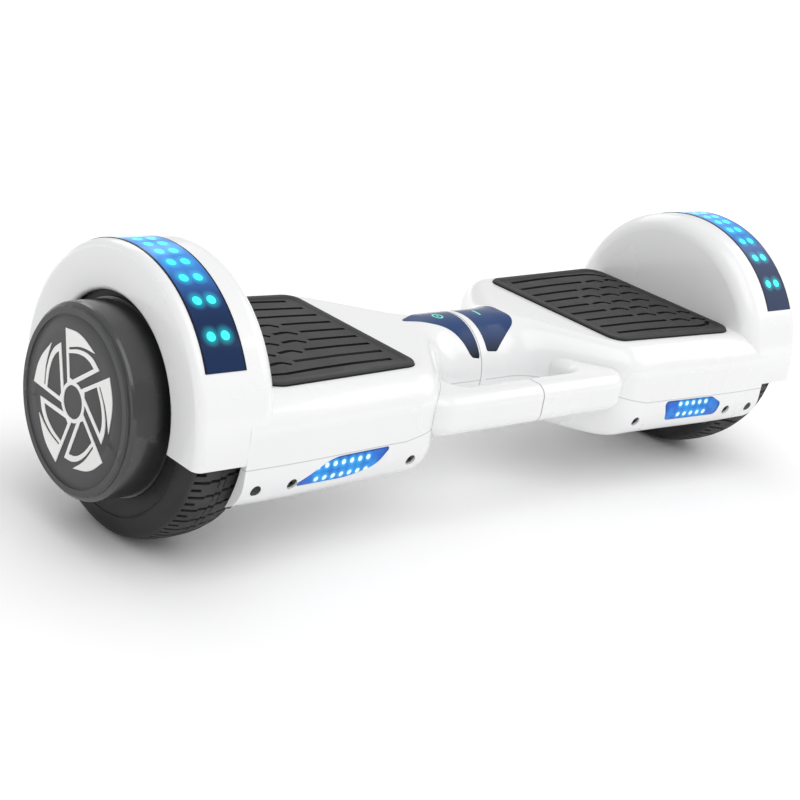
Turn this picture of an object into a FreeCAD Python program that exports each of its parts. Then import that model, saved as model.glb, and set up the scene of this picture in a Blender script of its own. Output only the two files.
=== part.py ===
import FreeCAD, Part
import math
import os

# Self balancing hoverboard: two foot decks, each with a hub motor wheel at its outer end,
# that twist against each other about a tube at the centre.
# Frame: X along the board (left is -X), the front with the handle and lamps is -Y, +Z up,
# origin on the floor under the middle of the board. Every half is modelled on +X and the
# left half is mirrored, so in a function "x" is the distance from the seam. Millimetres.

os.makedirs("parts", exist_ok=True)

# ---- driving dimensions ------------------------------------------------------------------
WHEEL_D = 168.0            # tyre outside diameter
TYRE_W = 43.0              # tyre width
DECK_END = 215.0           # from the seam to the wall between deck and wheel
DECK_TOP_RISE = 27.5       # deck surface above the axle
DECK_BOTTOM_DROP = 41.0    # underside below the axle
WAIST_R = 34.0             # radius of the waist at the seam
WAIST_DROP = 3.0           # twist axis below the axle
WALL = 3.0                 # plastic wall

# ---- clearances --------------------------------------------------------------------------
SKIN_GAP = 0.1             # between a fitted trim piece and the shell it seats in
SEAT_GAP = 0.3             # between stacked inner pieces
RUN_GAP = 0.05             # radial running fit
TYRE_GAP = 3.0             # tyre to fender, radially
SIDE_GAP = 2.0             # tyre to the wall beside it

# ---- shells ------------------------------------------------------------------------------
HALF_START = 2.6           # a half begins this far from the seam plane
SEAM_RING_HALF = 2.3       # half width of the ring between the halves
SEAM_RING_PROUD = 0.5      # how far the ring stands above the waist
SEAM_RING_DEPTH = 8.0      # radial depth of that ring
FLARE_START = 30.0         # the waist starts to widen
FLARE_END = 100.0          # the deck has its full section
DECK_SHY = 5.0             # the deck is this much narrower than the fender at the flare's end
TOP_CORNER = 20.0          # corner radius along the deck's upper edges
BOTTOM_CORNER = 22.0       # corner radius along its lower edges
FORM_STATIONS = 18         # even steps between the sections of the outer form
WING_REACH = 21.0          # lower shell past the wheel wall, in front of and behind the tyre
FENDER_WALL = 4.0          # crown of the fender
FENDER_DROP = 8.5          # the fender ends this far below the axle
FENDER_IN_ROUND = 12.0     # rounding of the fender's deck side
FENDER_OUT_ROUND = 5.0     # rounding of its outer side
ARCH_GAP = 5.0             # hub cover to the edge of the side opening
ARCH_LIP = 2.5             # rounding of that edge
SPLIT_DROP = 11.5          # joint of upper and lower shell, below the axle, along the deck
SPLIT_RISE_IN = FLARE_END - 30.0   # the joint climbs to the twist axis between these two distances
SPLIT_RISE_OUT = FLARE_END + 12.0
COVER_DEPTH = 1.2          # pocket of the centre covers
COVER_PROUD = 0.3

# ---- wheel -------------------------------------------------------------------------------
RIM_R = 58.0               # bead seat
HUB_R = 57.0               # outer motor cover
HUB_PROUD = 22.0           # outer motor cover beyond the fender
HUB_DISC_T = 2.0
HUB_DISC_R = 54.5
RIM_T = 7.0                # rotor rim wall
COVER_T = 4.0              # motor cover plates
TYRE_SHOULDER = 8.0
LINER_T = 2.0
LINER_SHY = 5.0            # liner's radius below the tyre's
LINER_REACH = 9.0          # the liner's lower edge below the deck's underside
AXLE_R = 7.0
CLAMPED_AXLE_R = 8.0
BEARING_R = 16.0
BEARING_W = 8.0
STATOR_GAP = 3.0           # rotor rim to stator
STATOR_SLOTS = 18
SLOT_W = 5.0
SLOT_DEPTH = 16.0

# ---- lights ------------------------------------------------------------------------------
STRIP_W = 27.5
STRIP_EDGE = 5.5           # from the fender's outer side to the strip
STRIP_HALF_ANGLE = 61.0    # each way from the top
STRIP_DEPTH = 2.4          # pocket in the fender
STRIP_PROUD = 0.4
STRIP_COVER_T = 1.6
STRIP_BOARD_T = 0.5
STRIP_ROWS = 8
STRIP_ROW_STEP = 12.86     # degrees
STRIP_PITCH = 9.4          # between the two columns
STRIP_LED_R = 2.7
LAMP_BOARD_T = 1.6
LAMP_LED_R = 1.7
LAMP_LED_PITCH = 8.5
LAMP_LED_ROWS = 4.0        # each row of points, above and below the lamp's middle

# ---- foot mats ---------------------------------------------------------------------------
MAT_IN = FLARE_END - 9.0   # inner edge from the seam
MAT_END_GAP = 1.5          # outer edge to the wheel wall
MAT_MARGIN_IN = 21.0       # deck side to the mat, at the mat's inner end
MAT_MARGIN_OUT = 19.0      # fender radius to the mat, at its outer end
MAT_CORNER_IN = 11.0
MAT_CORNER_OUT = 14.0
MAT_PROUD = 1.9            # mat above the deck
MAT_T = 4.5
MAT_TRAVEL = 1.5
MAT_FLOOR_T = 2.8
MAT_EDGE_GAP = 0.4
PLUNGER_R = 4.0
PLUNGER_Y = 38.0           # each way from the middle
PLUNGER_X = DECK_END - 63.0
PLUNGER_LENGTH = 8.5

# ---- handle ------------------------------------------------------------------------------
HANDLE_T = 22.0            # front to back
HANDLE_H = 26.0
HANDLE_SHY = 1.5           # handle front behind the fender's front
HANDLE_DROP = 13.0         # underside below the axle
HANDLE_ROUND = 8.0
HANDLE_ELBOW = 18.0
HANDLE_INNER_ELBOW = 9.0
HANDLE_END_GAP = 0.5       # each half to the seam plane
HANDLE_END = {"left": FLARE_END - 5.0, "right": FLARE_END - 13.0}
FINGER_GAP_END = {"left": FLARE_END - 41.0, "right": FLARE_END - 49.0}

# ---- inner structure ---------------------------------------------------------------------
CHASSIS_IN = FLARE_END - 6.0
CHASSIS_MARGIN = 26.0      # deck side to the chassis
CHASSIS_T = 4.0
CHASSIS_WALL_H = 26.0
CHASSIS_END_GAP = 1.0      # chassis to the wheel wall
AXLE_BLOCK_L = 25.0
AXLE_BLOCK_HALF = 18.0
CLAMP_H = 12.0
CLAMP_BOLT_R = 2.5
CLAMP_BOLT_HEAD_R = 4.2
CLAMP_BOLT_HEAD_H = 3.0
CLAMP_BOLT_DEPTH = 14.0    # thread below the clamp's joint
SOCKET_WALL = 5.0          # of the pivot tube's socket, around its bushes
SOCKET_START = 8.0
TUBE_R = 15.0
TUBE_BORE_R = 11.0
TUBE_END = 66.0            # the tube's ends from the seam
BUSH_T = 3.0
BUSH_L = 16.0
BUSH_PLACES = (0.0, 36.0)  # from the socket's mouth
RING_GROOVE = 1.0
RING_T = 1.5
PIN_R = 2.5
PIN_X = 40.0
PIN_TRAVEL = 15.0          # degrees that the halves twist each way
POST_R = 3.0
TRAY_L = DECK_END - FLARE_END - 27.0   # battery and controller, along the board
BATTERY_H = 26.0
BOARD_T = 1.6
SINK_H = 10.0              # heat sink under the controller
HEADER_X = 9.0             # the loom's header from the controller's inner end
HEADER_H = 8.0
GYRO_L = 44.0
GYRO_MARGIN = 1.0          # chassis side to the gyro board
SWITCH_H = 2.6
SWITCH_SIDE = 9.0
WIRE_R = 3.5

# ---- button, socket, screws --------------------------------------------------------------
BUTTON_X = DECK_END - 87.0
BUTTON_R = 7.0
BUTTON_TRAVEL = 1.0
BUTTON_FLANGE = 1.6        # the flange's radius beyond the button, and its thickness
PORT_X = DECK_END - 47.0
PORT_R = 8.0
PORT_BORE_R = 6.0
PORT_BORE_DEPTH = 9.0
PORT_LENGTH = 14.0
PORT_PIN_R = 0.9
PORT_PIN_LENGTH = 3.0
PORT_PIN_CIRCLE = 3.0
CAP_T = 1.8
CAP_R = 9.0
CAP_KNUCKLE_R = 1.1
REAR_TRIM_DROP = 1.0       # button and socket centres below the axle
RECESS_R = 3.6
RECESS_DEPTH = 4.0
SCREW_HEAD_H = 1.8
SCREW_SHAFT_R = 1.5
SCREW_BOSS_R = 5.8
SCREW_BOSS_L = 13.0
SCREW_X = (FLARE_END + 5.0, DECK_END - 15.0)
WING_SCREW_X = DECK_END + WING_REACH - 10.0
WING_RECESS_DEPTH = 1.2
SCREW_DROP = 25.5          # recess centres below the axle
SCREW_SLOPE = 22.0         # degrees that a screw climbs inward

# ---- values that follow ------------------------------------------------------------------
TYRE_R = WHEEL_D / 2
AXLE_Z = TYRE_R
TWIST_Z = AXLE_Z - WAIST_DROP
FENDER_R = TYRE_R + TYRE_GAP + FENDER_WALL
ARCH_R = FENDER_R - FENDER_WALL
DECK_TOP = AXLE_Z + DECK_TOP_RISE
DECK_BOTTOM = AXLE_Z - DECK_BOTTOM_DROP
DECK_HALF = FENDER_R - DECK_SHY
TYRE_IN = DECK_END + WALL + SKIN_GAP + LINER_T + SIDE_GAP
TYRE_OUT = TYRE_IN + TYRE_W
FENDER_OUT = TYRE_OUT + SIDE_GAP + WALL
HUB_FACE = FENDER_OUT + HUB_PROUD
WING_END = DECK_END + WING_REACH
SPLIT_Z = AXLE_Z - SPLIT_DROP
FENDER_END_Z = AXLE_Z - FENDER_DROP
MAT_OUT = DECK_END - MAT_END_GAP
MAT_TOP = DECK_TOP + MAT_PROUD
MAT_BOTTOM = MAT_TOP - MAT_T
MAT_FLOOR = MAT_BOTTOM - MAT_TRAVEL - MAT_EDGE_GAP
CHASSIS_OUT = DECK_END - CHASSIS_END_GAP
CHASSIS_HALF = DECK_HALF - CHASSIS_MARGIN
CHASSIS_Z = DECK_BOTTOM + WALL + SEAT_GAP
CHASSIS_TOP = CHASSIS_Z + CHASSIS_T
PLUNGER_BOTTOM = MAT_BOTTOM - PLUNGER_LENGTH
SWITCH_TOP = PLUNGER_BOTTOM - MAT_TRAVEL - SEAT_GAP
GYRO_Z = SWITCH_TOP - SWITCH_H - BOARD_T
TRIM_Z = AXLE_Z - REAR_TRIM_DROP
LINER_R = TYRE_R - LINER_SHY
LINER_BOTTOM = DECK_BOTTOM - LINER_REACH
SOCKET_R = TUBE_R + BUSH_T + SOCKET_WALL
STRIP_OUT = FENDER_OUT - STRIP_EDGE
STRIP_IN = STRIP_OUT - STRIP_W
STRIP_FLOOR_R = FENDER_R - STRIP_DEPTH
STRIP_TOP_R = FENDER_R + STRIP_PROUD

X_AXIS = FreeCAD.Vector(1, 0, 0)
Y_AXIS = FreeCAD.Vector(0, 1, 0)
Z_AXIS = FreeCAD.Vector(0, 0, 1)


# ---- shape helpers -----------------------------------------------------------------------
def vec(x, y, z):
    return FreeCAD.Vector(x, y, z)


def box(x0, x1, y0, y1, z0, z1):
    return Part.makeBox(x1 - x0, y1 - y0, z1 - z0, vec(x0, y0, z0))


def rod(radius, x0, x1, y=0.0, z=AXLE_Z):
    """A cylinder along X."""
    return Part.makeCylinder(radius, x1 - x0, vec(x0, y, z), X_AXIS)


def tube(outer, inner, x0, x1, y=0.0, z=AXLE_Z):
    return rod(outer, x0, x1, y, z).cut(rod(inner, x0 - 1, x1 + 1, y, z))


def group(solids):
    return Part.makeCompound(solids)


def rounded_wire(points, radii):
    """A closed outline with its corners rounded by tangent arcs; a radius of 0 is a sharp corner."""
    edges = []
    count = len(points)
    corners = []
    for i in range(count):
        before, corner, after = points[i - 1], points[i], points[(i + 1) % count]
        to_before = (before - corner).normalize()
        to_after = (after - corner).normalize()
        half_turn = to_before.getAngle(to_after) / 2
        setback = radii[i] / math.tan(half_turn)
        bisector = (to_before + to_after).normalize()
        centre = corner + bisector * (radii[i] / math.sin(half_turn))
        corners.append((corner + to_before * setback, centre - bisector * radii[i],
                        corner + to_after * setback))
    for i in range(count):
        start, middle, end = corners[i]
        if radii[i] > 0:
            edges.append(Part.Arc(start, middle, end).toShape())
        edges.append(Part.makeLine(end, corners[(i + 1) % count][0]))
    return Part.Wire(edges)


def plate(points, radii, height, direction):
    """A slab of that rounded outline, extruded along a direction."""
    return Part.Face(rounded_wire(points, radii)).extrude(direction * height)


def turned(profile):
    """A solid of revolution about the wheel's axis, from its (x, radius) outline."""
    points = [vec(x, 0, AXLE_Z + r) for x, r in profile]
    face = Part.Face(Part.makePolygon(points + points[:1]))
    return face.revolve(vec(0, 0, AXLE_Z), X_AXIS, 360)


def ring_sector(x0, x1, r0, r1, half_angle):
    """A piece of a ring about the wheel's axis, the same way to each side of its top."""
    points = [vec(x0, 0, AXLE_Z + r0), vec(x1, 0, AXLE_Z + r0),
              vec(x1, 0, AXLE_Z + r1), vec(x0, 0, AXLE_Z + r1)]
    face = Part.Face(Part.makePolygon(points + points[:1]))
    face.rotate(vec(0, 0, AXLE_Z), X_AXIS, -half_angle)
    return face.revolve(vec(0, 0, AXLE_Z), X_AXIS, 2 * half_angle)


def both_ends(shape):
    """The shape and its copy on the other side of the axle, front to rear."""
    return [shape, shape.mirror(vec(0, 0, 0), Y_AXIS)]


def save(name, shape, side="right"):
    """Write one node; what belongs to the left half is mirrored there."""
    if side == "left":
        shape = shape.mirror(vec(0, 0, 0), X_AXIS)
    shape.exportStep("parts/%s.step" % name)
    print(name, len(shape.Solids), "solids", round(shape.Volume / 1000, 2), "cm3", shape.isValid())


# ---- outer form --------------------------------------------------------------------------
def ease(value):
    """0 to 1, with a level start and end."""
    t = min(max(value, 0.0), 1.0)
    return t * t * (3 - 2 * t)


def flare(x):
    return ease((x - FLARE_START) / (FLARE_END - FLARE_START))


def half_depth(x):
    """Half the depth of the outer form at a distance from the seam."""
    along_deck = ease((x - FLARE_END) / (DECK_END - FLARE_END))
    return WAIST_R + (DECK_HALF - WAIST_R) * flare(x) + DECK_SHY * along_deck


def section(x, inset):
    """Rounded rectangle of the outer form, or of the form inset from it."""
    mix = flare(x)
    depth = half_depth(x) - inset
    top = TWIST_Z + WAIST_R + (DECK_TOP - TWIST_Z - WAIST_R) * mix - inset
    bottom = TWIST_Z - WAIST_R + (DECK_BOTTOM - TWIST_Z + WAIST_R) * mix + inset
    nearly_round = WAIST_R - 0.5
    upper = nearly_round + (TOP_CORNER - nearly_round) * mix - inset
    lower = nearly_round + (BOTTOM_CORNER - nearly_round) * mix - inset
    corners = [vec(x, -depth, bottom), vec(x, depth, bottom), vec(x, depth, top), vec(x, -depth, top)]
    return rounded_wire(corners, [lower, lower, upper, upper])


def outer_form(inset=0.0):
    """The half's body from the waist to the wing at the wheel."""
    step = (WING_END - HALF_START) / FORM_STATIONS
    stations = [HALF_START + step * i for i in range(FORM_STATIONS + 1)]
    return Part.makeLoft([section(x, inset) for x in stations], True, False)


def mat_wire(z, grow=0.0):
    inner = DECK_HALF - MAT_MARGIN_IN + grow
    outer = FENDER_R - MAT_MARGIN_OUT + grow
    x0 = MAT_IN - grow
    x1 = MAT_OUT + grow
    corners = [vec(x0, -inner, z), vec(x1, -outer, z), vec(x1, outer, z), vec(x0, inner, z)]
    radii = [MAT_CORNER_IN + grow, MAT_CORNER_OUT + grow, MAT_CORNER_OUT + grow, MAT_CORNER_IN + grow]
    return rounded_wire(corners, radii)


def mat_prism(z0, z1, grow=0.0):
    return Part.Face(mat_wire(z0, grow)).extrude(Z_AXIS * (z1 - z0))


def round_disc(x0, x1, radius, round_in, round_out):
    """A disc about the wheel's axis with its two rims rounded."""
    points = [vec(x0, 0, AXLE_Z), vec(x0, 0, AXLE_Z + radius - round_in)]
    top_in = vec(x0 + round_in, 0, AXLE_Z + radius)
    top_out = vec(x1 - round_out, 0, AXLE_Z + radius)
    low_out = vec(x1, 0, AXLE_Z + radius - round_out)
    bow = 1 - math.sqrt(0.5)
    edges = [
        Part.makeLine(points[0], points[1]),
        Part.Arc(points[1], vec(x0 + round_in * bow, 0, AXLE_Z + radius - round_in * bow), top_in).toShape(),
        Part.makeLine(top_in, top_out),
        Part.Arc(top_out, vec(x1 - round_out * bow, 0, AXLE_Z + radius - round_out * bow),
                 low_out).toShape(),
        Part.makeLine(low_out, vec(x1, 0, AXLE_Z)),
        Part.makeLine(vec(x1, 0, AXLE_Z), points[0]),
    ]
    return Part.Face(Part.Wire(edges)).revolve(vec(0, 0, AXLE_Z), X_AXIS, 360)


def side_opening():
    """The round opening in the fender's side, wider at its rounded outer edge."""
    radius = HUB_R + ARCH_GAP
    centre_x = FENDER_OUT - ARCH_LIP
    centre_r = radius + ARCH_LIP
    half_way = ARCH_LIP * math.sqrt(0.5)
    ends = [vec(centre_x, 0, AXLE_Z + radius), vec(FENDER_OUT, 0, AXLE_Z + centre_r)]
    middle = vec(centre_x + half_way, 0, AXLE_Z + centre_r - half_way)
    outline = [vec(FENDER_OUT, 0, AXLE_Z + centre_r), vec(FENDER_OUT + 1, 0, AXLE_Z + centre_r),
               vec(FENDER_OUT + 1, 0, AXLE_Z), vec(TYRE_OUT, 0, AXLE_Z),
               vec(TYRE_OUT, 0, AXLE_Z + radius), vec(centre_x, 0, AXLE_Z + radius)]
    edges = Part.makePolygon(outline).Edges + [Part.Arc(ends[0], middle, ends[1]).toShape()]
    return Part.Face(Part.Wire(edges)).revolve(vec(0, 0, AXLE_Z), X_AXIS, 360)


def wheel_space():
    """What the wheel needs inside the fender, with the opening in its side."""
    space = round_disc(DECK_END + WALL, FENDER_OUT - WALL, ARCH_R, FENDER_IN_ROUND - WALL, 1.0)
    return space.fuse(side_opening())


def body_solid():
    """The outer form with the fender on it, not yet hollow."""
    fender = round_disc(DECK_END, FENDER_OUT, FENDER_R, FENDER_IN_ROUND, FENDER_OUT_ROUND)
    above = box(DECK_END - 1, FENDER_OUT + 1, -FENDER_R - 1, FENDER_R + 1,
                FENDER_END_Z, AXLE_Z + FENDER_R + 1)
    return outer_form().fuse(fender.common(above))


def inner_space():
    """The hollow of the half, up to the wheel wall and clear of the mat's floor."""
    mouth = Part.Face(section(HALF_START, WALL)).extrude(X_AXIS * -1)
    room = box(0, DECK_END, -FENDER_R, FENDER_R, 0, 2 * FENDER_R)
    mat_floor = mat_prism(MAT_FLOOR - MAT_FLOOR_T, 2 * FENDER_R, MAT_FLOOR_T)
    return outer_form(WALL).fuse(mouth).common(room).cut(mat_floor)


def lower_region():
    """Everything below the joint between the upper and lower shell."""
    far = FENDER_OUT + 5
    outline = [vec(0, -FENDER_R - 5, 0), vec(far, -FENDER_R - 5, 0), vec(far, -FENDER_R - 5, SPLIT_Z),
               vec(SPLIT_RISE_OUT, -FENDER_R - 5, SPLIT_Z), vec(SPLIT_RISE_IN, -FENDER_R - 5, TWIST_Z),
               vec(0, -FENDER_R - 5, TWIST_Z)]
    return Part.Face(Part.makePolygon(outline + outline[:1])).extrude(Y_AXIS * (2 * FENDER_R + 10))


def inner_depth(x, z):
    """Half depth of the hollow at a height in the lower part of the deck."""
    corner = BOTTOM_CORNER - WALL
    below = max(DECK_BOTTOM + WALL + corner - z, 0.0)
    return half_depth(x) - WALL - corner + math.sqrt(corner ** 2 - below ** 2)


# ---- screws that hold the shells ---------------------------------------------------------
def screw_places():
    """Start point and inward direction of each screw at the front of a half."""
    angle = math.radians(SCREW_SLOPE)
    slope = vec(0, math.cos(angle), math.sin(angle))
    return [(vec(x, -half_depth(x), AXLE_Z - SCREW_DROP), slope) for x in SCREW_X]


def screw_bosses():
    bosses = [Part.makeCylinder(SCREW_BOSS_R, SCREW_BOSS_L, start - slope * 4, slope)
              for start, slope in screw_places()]
    return [end for boss in bosses for end in both_ends(boss)]


def screw_recesses():
    cuts = []
    for start, slope in screw_places():
        cuts += both_ends(Part.makeCylinder(RECESS_R, 8 + RECESS_DEPTH, start - slope * 8, slope))
        cuts += both_ends(Part.makeCylinder(SCREW_SHAFT_R + SKIN_GAP, SCREW_BOSS_L + 8, start, slope))
    floor = vec(WING_SCREW_X, wing_recess_floor(), AXLE_Z - SCREW_DROP)
    cuts += both_ends(Part.makeCylinder(RECESS_R, 10, floor, -Y_AXIS))
    return cuts


def shell_screws():
    screws = []
    for start, slope in screw_places():
        seat = start + slope * RECESS_DEPTH
        head = Part.makeCylinder(RECESS_R - SEAT_GAP, SCREW_HEAD_H, seat - slope * SCREW_HEAD_H, slope)
        shaft = Part.makeCylinder(SCREW_SHAFT_R, SCREW_BOSS_L - RECESS_DEPTH, seat - slope, slope)
        drive = Part.makeCylinder(SCREW_SHAFT_R * 0.8, 1.2, seat - slope * SCREW_HEAD_H, slope)
        screws += both_ends(head.fuse(shaft).cut(drive))
    wing_head = Part.makeCylinder(RECESS_R - SEAT_GAP, WING_RECESS_DEPTH,
                                  vec(WING_SCREW_X, wing_recess_floor(), AXLE_Z - SCREW_DROP), -Y_AXIS)
    return group(screws + both_ends(wing_head.common(outer_form())))


def wing_recess_floor():
    """Depth of the trim screw's seat, from the wing's face at that height."""
    height = BOTTOM_CORNER - (AXLE_Z - SCREW_DROP - DECK_BOTTOM)
    inset = BOTTOM_CORNER - math.sqrt(BOTTOM_CORNER ** 2 - max(height, 0.0) ** 2)
    return -half_depth(WING_SCREW_X) + inset + WING_RECESS_DEPTH


# ---- shells ------------------------------------------------------------------------------
def lens_outline(side):
    """Corners of the front lamp as (x, height from the shell joint) with their roundings.

    The lists hold each corner's distance from the wheel wall, and its height.
    """
    if side == "left":
        corners = [(-14, -15.5), (-59, -16.5), (-80, -12), (-91, -0.8), (-44, -0.8)]
        radii = [1.5, 60, 22, 1.5, 30]
    else:
        corners = [(-24, -6.5), (-26.5, -16), (-79, -16), (-84, -0.8), (-35, -0.8)]
        radii = [3, 4, 4, 3, 8]
    return [(DECK_END + x, z) for x, z in corners], radii


def lens_prism(side, grow):
    corners, radii = lens_outline(side)
    depth = FENDER_R + 5
    points = [vec(x, -depth, SPLIT_Z + z) for x, z in corners]
    face = Part.Face(rounded_wire(points, radii))
    if grow:
        face = face.makeOffset2D(grow)
    return face.extrude(Y_AXIS * (depth - CHASSIS_HALF))


def shell_parts(side):
    """Upper and lower shell of one half, and the lens that sits in the lower one."""
    solid = body_solid()
    hollow = inner_space()
    space = wheel_space()
    skin = solid.cut(hollow).cut(space)
    lower_space = lower_region()

    upper = skin.cut(lower_space)
    if side == "left":
        upper = upper.fuse(port_boss().common(solid).cut(lower_space))
        for cut in rear_trim_cuts():
            upper = upper.cut(cut)
    upper = upper.cut(ring_sector(STRIP_IN, STRIP_OUT, STRIP_FLOOR_R, FENDER_R + 5, STRIP_HALF_ANGLE))
    upper = upper.cut(mat_prism(MAT_FLOOR, MAT_TOP + 10, MAT_EDGE_GAP))
    upper = upper.cut(rod(CLAMPED_AXLE_R + 1.5, DECK_END - 5, DECK_END + WALL + 5))
    upper = upper.cut(cover_prism(side, 0.0).cut(outer_form(COVER_DEPTH)))
    for y in (-PLUNGER_Y, PLUNGER_Y):
        hole = Part.makeCylinder(PLUNGER_R + MAT_EDGE_GAP, 20, vec(PLUNGER_X, y, MAT_FLOOR - 10))
        upper = upper.cut(hole)

    skin_below = skin.common(lower_space)
    lens = skin_below.common(lens_prism(side, -SKIN_GAP))
    lower = skin_below
    for boss in screw_bosses():
        lower = lower.fuse(boss.common(solid).cut(space).common(lower_space))
    lower = lower.cut(lens_prism(side, 0.0))
    for cut in screw_recesses():
        lower = lower.cut(cut)
    return upper, lower, lens


# ---- covers on the waist -----------------------------------------------------------------
def cover_prism(side, grow):
    """Seen from above: a pointed leaf on the left, a rounded tongue on the right."""
    start = HALF_START + 1.2
    if side == "left":
        half = [(start, WAIST_R - 3, 1), (start + 8, WAIST_R - 3.5, 5), (22, 13, 24), (52, 0, 1.5)]
    else:
        half = [(start, WAIST_R - 5, 1), (start + 9, WAIST_R - 4.5, 5), (40, 15, 12)]
    front = [(x, -y, radius) for x, y, radius in half]
    rear = [(x, y, radius) for x, y, radius in reversed(half) if y > 0]
    outline = front + rear
    points = [vec(x, y, TWIST_Z) for x, y, _ in outline]
    face = Part.Face(rounded_wire(points, [radius for _, _, radius in outline]))
    if grow:
        face = face.makeOffset2D(grow)
    return face.extrude(Z_AXIS * (WAIST_R + 10))


def centre_cover(side):
    leaf = cover_prism(side, -SKIN_GAP).common(outer_form(-COVER_PROUD))
    return leaf.cut(outer_form(COVER_DEPTH - SKIN_GAP))


def seam_ring():
    ring = tube(WAIST_R + SEAM_RING_PROUD, WAIST_R - SEAM_RING_DEPTH, -SEAM_RING_HALF, SEAM_RING_HALF,
                z=TWIST_Z)
    collar_end = HALF_START + 5
    collar = tube(WAIST_R - WALL - SEAT_GAP, WAIST_R - SEAM_RING_DEPTH, -collar_end, 0, z=TWIST_Z)
    return ring.fuse(collar)


# ---- lights ------------------------------------------------------------------------------
def fender_light_cover():
    return ring_sector(STRIP_IN + SKIN_GAP, STRIP_OUT - SKIN_GAP, STRIP_TOP_R - STRIP_COVER_T,
                       STRIP_TOP_R, STRIP_HALF_ANGLE - 0.1)


def fender_light_strip():
    """The flexible board in the fender's pocket and its light points."""
    board = ring_sector(STRIP_IN + 1, STRIP_OUT - 1, STRIP_FLOOR_R + SKIN_GAP,
                        STRIP_FLOOR_R + SKIN_GAP + STRIP_BOARD_T, STRIP_HALF_ANGLE - 2)
    middle = (STRIP_IN + STRIP_OUT) / 2
    led_base = STRIP_FLOOR_R + STRIP_BOARD_T
    led_top = STRIP_TOP_R - STRIP_COVER_T - SKIN_GAP
    leds = []
    for row in range(STRIP_ROWS):
        angle = (row - (STRIP_ROWS - 1) / 2) * STRIP_ROW_STEP
        for x in (middle - STRIP_PITCH / 2, middle + STRIP_PITCH / 2):
            led = Part.makeCylinder(STRIP_LED_R, led_top - led_base, vec(x, 0, AXLE_Z + led_base))
            led.rotate(vec(0, 0, AXLE_Z), X_AXIS, angle)
            leds.append(led.cut(board))
    return group([board] + leds)


def front_lamp(side):
    """A narrow board behind the front lens with two rows of light points."""
    corners, _ = lens_outline(side)
    x0 = min(x for x, _ in corners) + 14
    x1 = max(x for x, _ in corners) - 14
    z = SPLIT_Z + sum(z for _, z in corners) / len(corners)
    half_height = LAMP_LED_ROWS + 2
    back = -inner_depth(x0, z - LAMP_LED_ROWS - LAMP_LED_R) + SEAT_GAP + 2.0
    board = box(x0, x1, back, back + LAMP_BOARD_T, z - half_height, z + half_height)
    count = int((x1 - x0) // LAMP_LED_PITCH)
    first = (x0 + x1 - (count - 1) * LAMP_LED_PITCH) / 2
    leds = []
    for i in range(count):
        x = first + i * LAMP_LED_PITCH
        for row in (-LAMP_LED_ROWS, LAMP_LED_ROWS):
            leds.append(Part.makeCylinder(LAMP_LED_R, 2.0, vec(x, back - 2.0, z + row), Y_AXIS))
    return group([board] + leds)


# ---- foot mat ----------------------------------------------------------------------------
def foot_mat():
    slab = mat_prism(MAT_BOTTOM, MAT_TOP)
    rim = [edge for edge in slab.Edges if abs(edge.BoundBox.ZMin - MAT_TOP) < 0.01]
    return slab.makeFillet(MAT_T / 3, rim)


def switch_plungers():
    stems = []
    for y in (-PLUNGER_Y, PLUNGER_Y):
        stem = Part.makeCylinder(PLUNGER_R, PLUNGER_LENGTH, vec(PLUNGER_X, y, PLUNGER_BOTTOM))
        stems.append(stem)
    return group(stems)


# ---- handle ------------------------------------------------------------------------------
def handle(side):
    """Half of the carry handle: a bar from the seam with an arm back to the shell."""
    end = HANDLE_END[side]
    gap_end = FINGER_GAP_END[side]
    front = -(FENDER_R - HANDLE_SHY)
    back = front + HANDLE_T
    root = -WAIST_R
    z = AXLE_Z - HANDLE_DROP
    corners = [vec(HANDLE_END_GAP, front, z), vec(end, front, z), vec(end, root, z),
               vec(gap_end, root, z), vec(gap_end, back, z), vec(HANDLE_END_GAP, back, z)]
    bar = plate(corners, [0, HANDLE_ELBOW, 0, 0, HANDLE_INNER_ELBOW, 0], HANDLE_H, Z_AXIS)
    rims = [edge for edge in bar.Edges
            if edge.BoundBox.ZLength < 0.01 and edge.BoundBox.XMax > HANDLE_END_GAP + 0.01
            and edge.BoundBox.YMin < root - 0.01]
    return bar.makeFillet(HANDLE_ROUND, rims).cut(outer_form(-SKIN_GAP))


# ---- chassis and what it carries ---------------------------------------------------------
def post_places():
    return [(PLUNGER_X + i * (GYRO_L / 2 - POST_R), j * ((CHASSIS_HALF - GYRO_MARGIN) - POST_R))
            for i in (-1, 1) for j in (-1, 1)]


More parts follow.
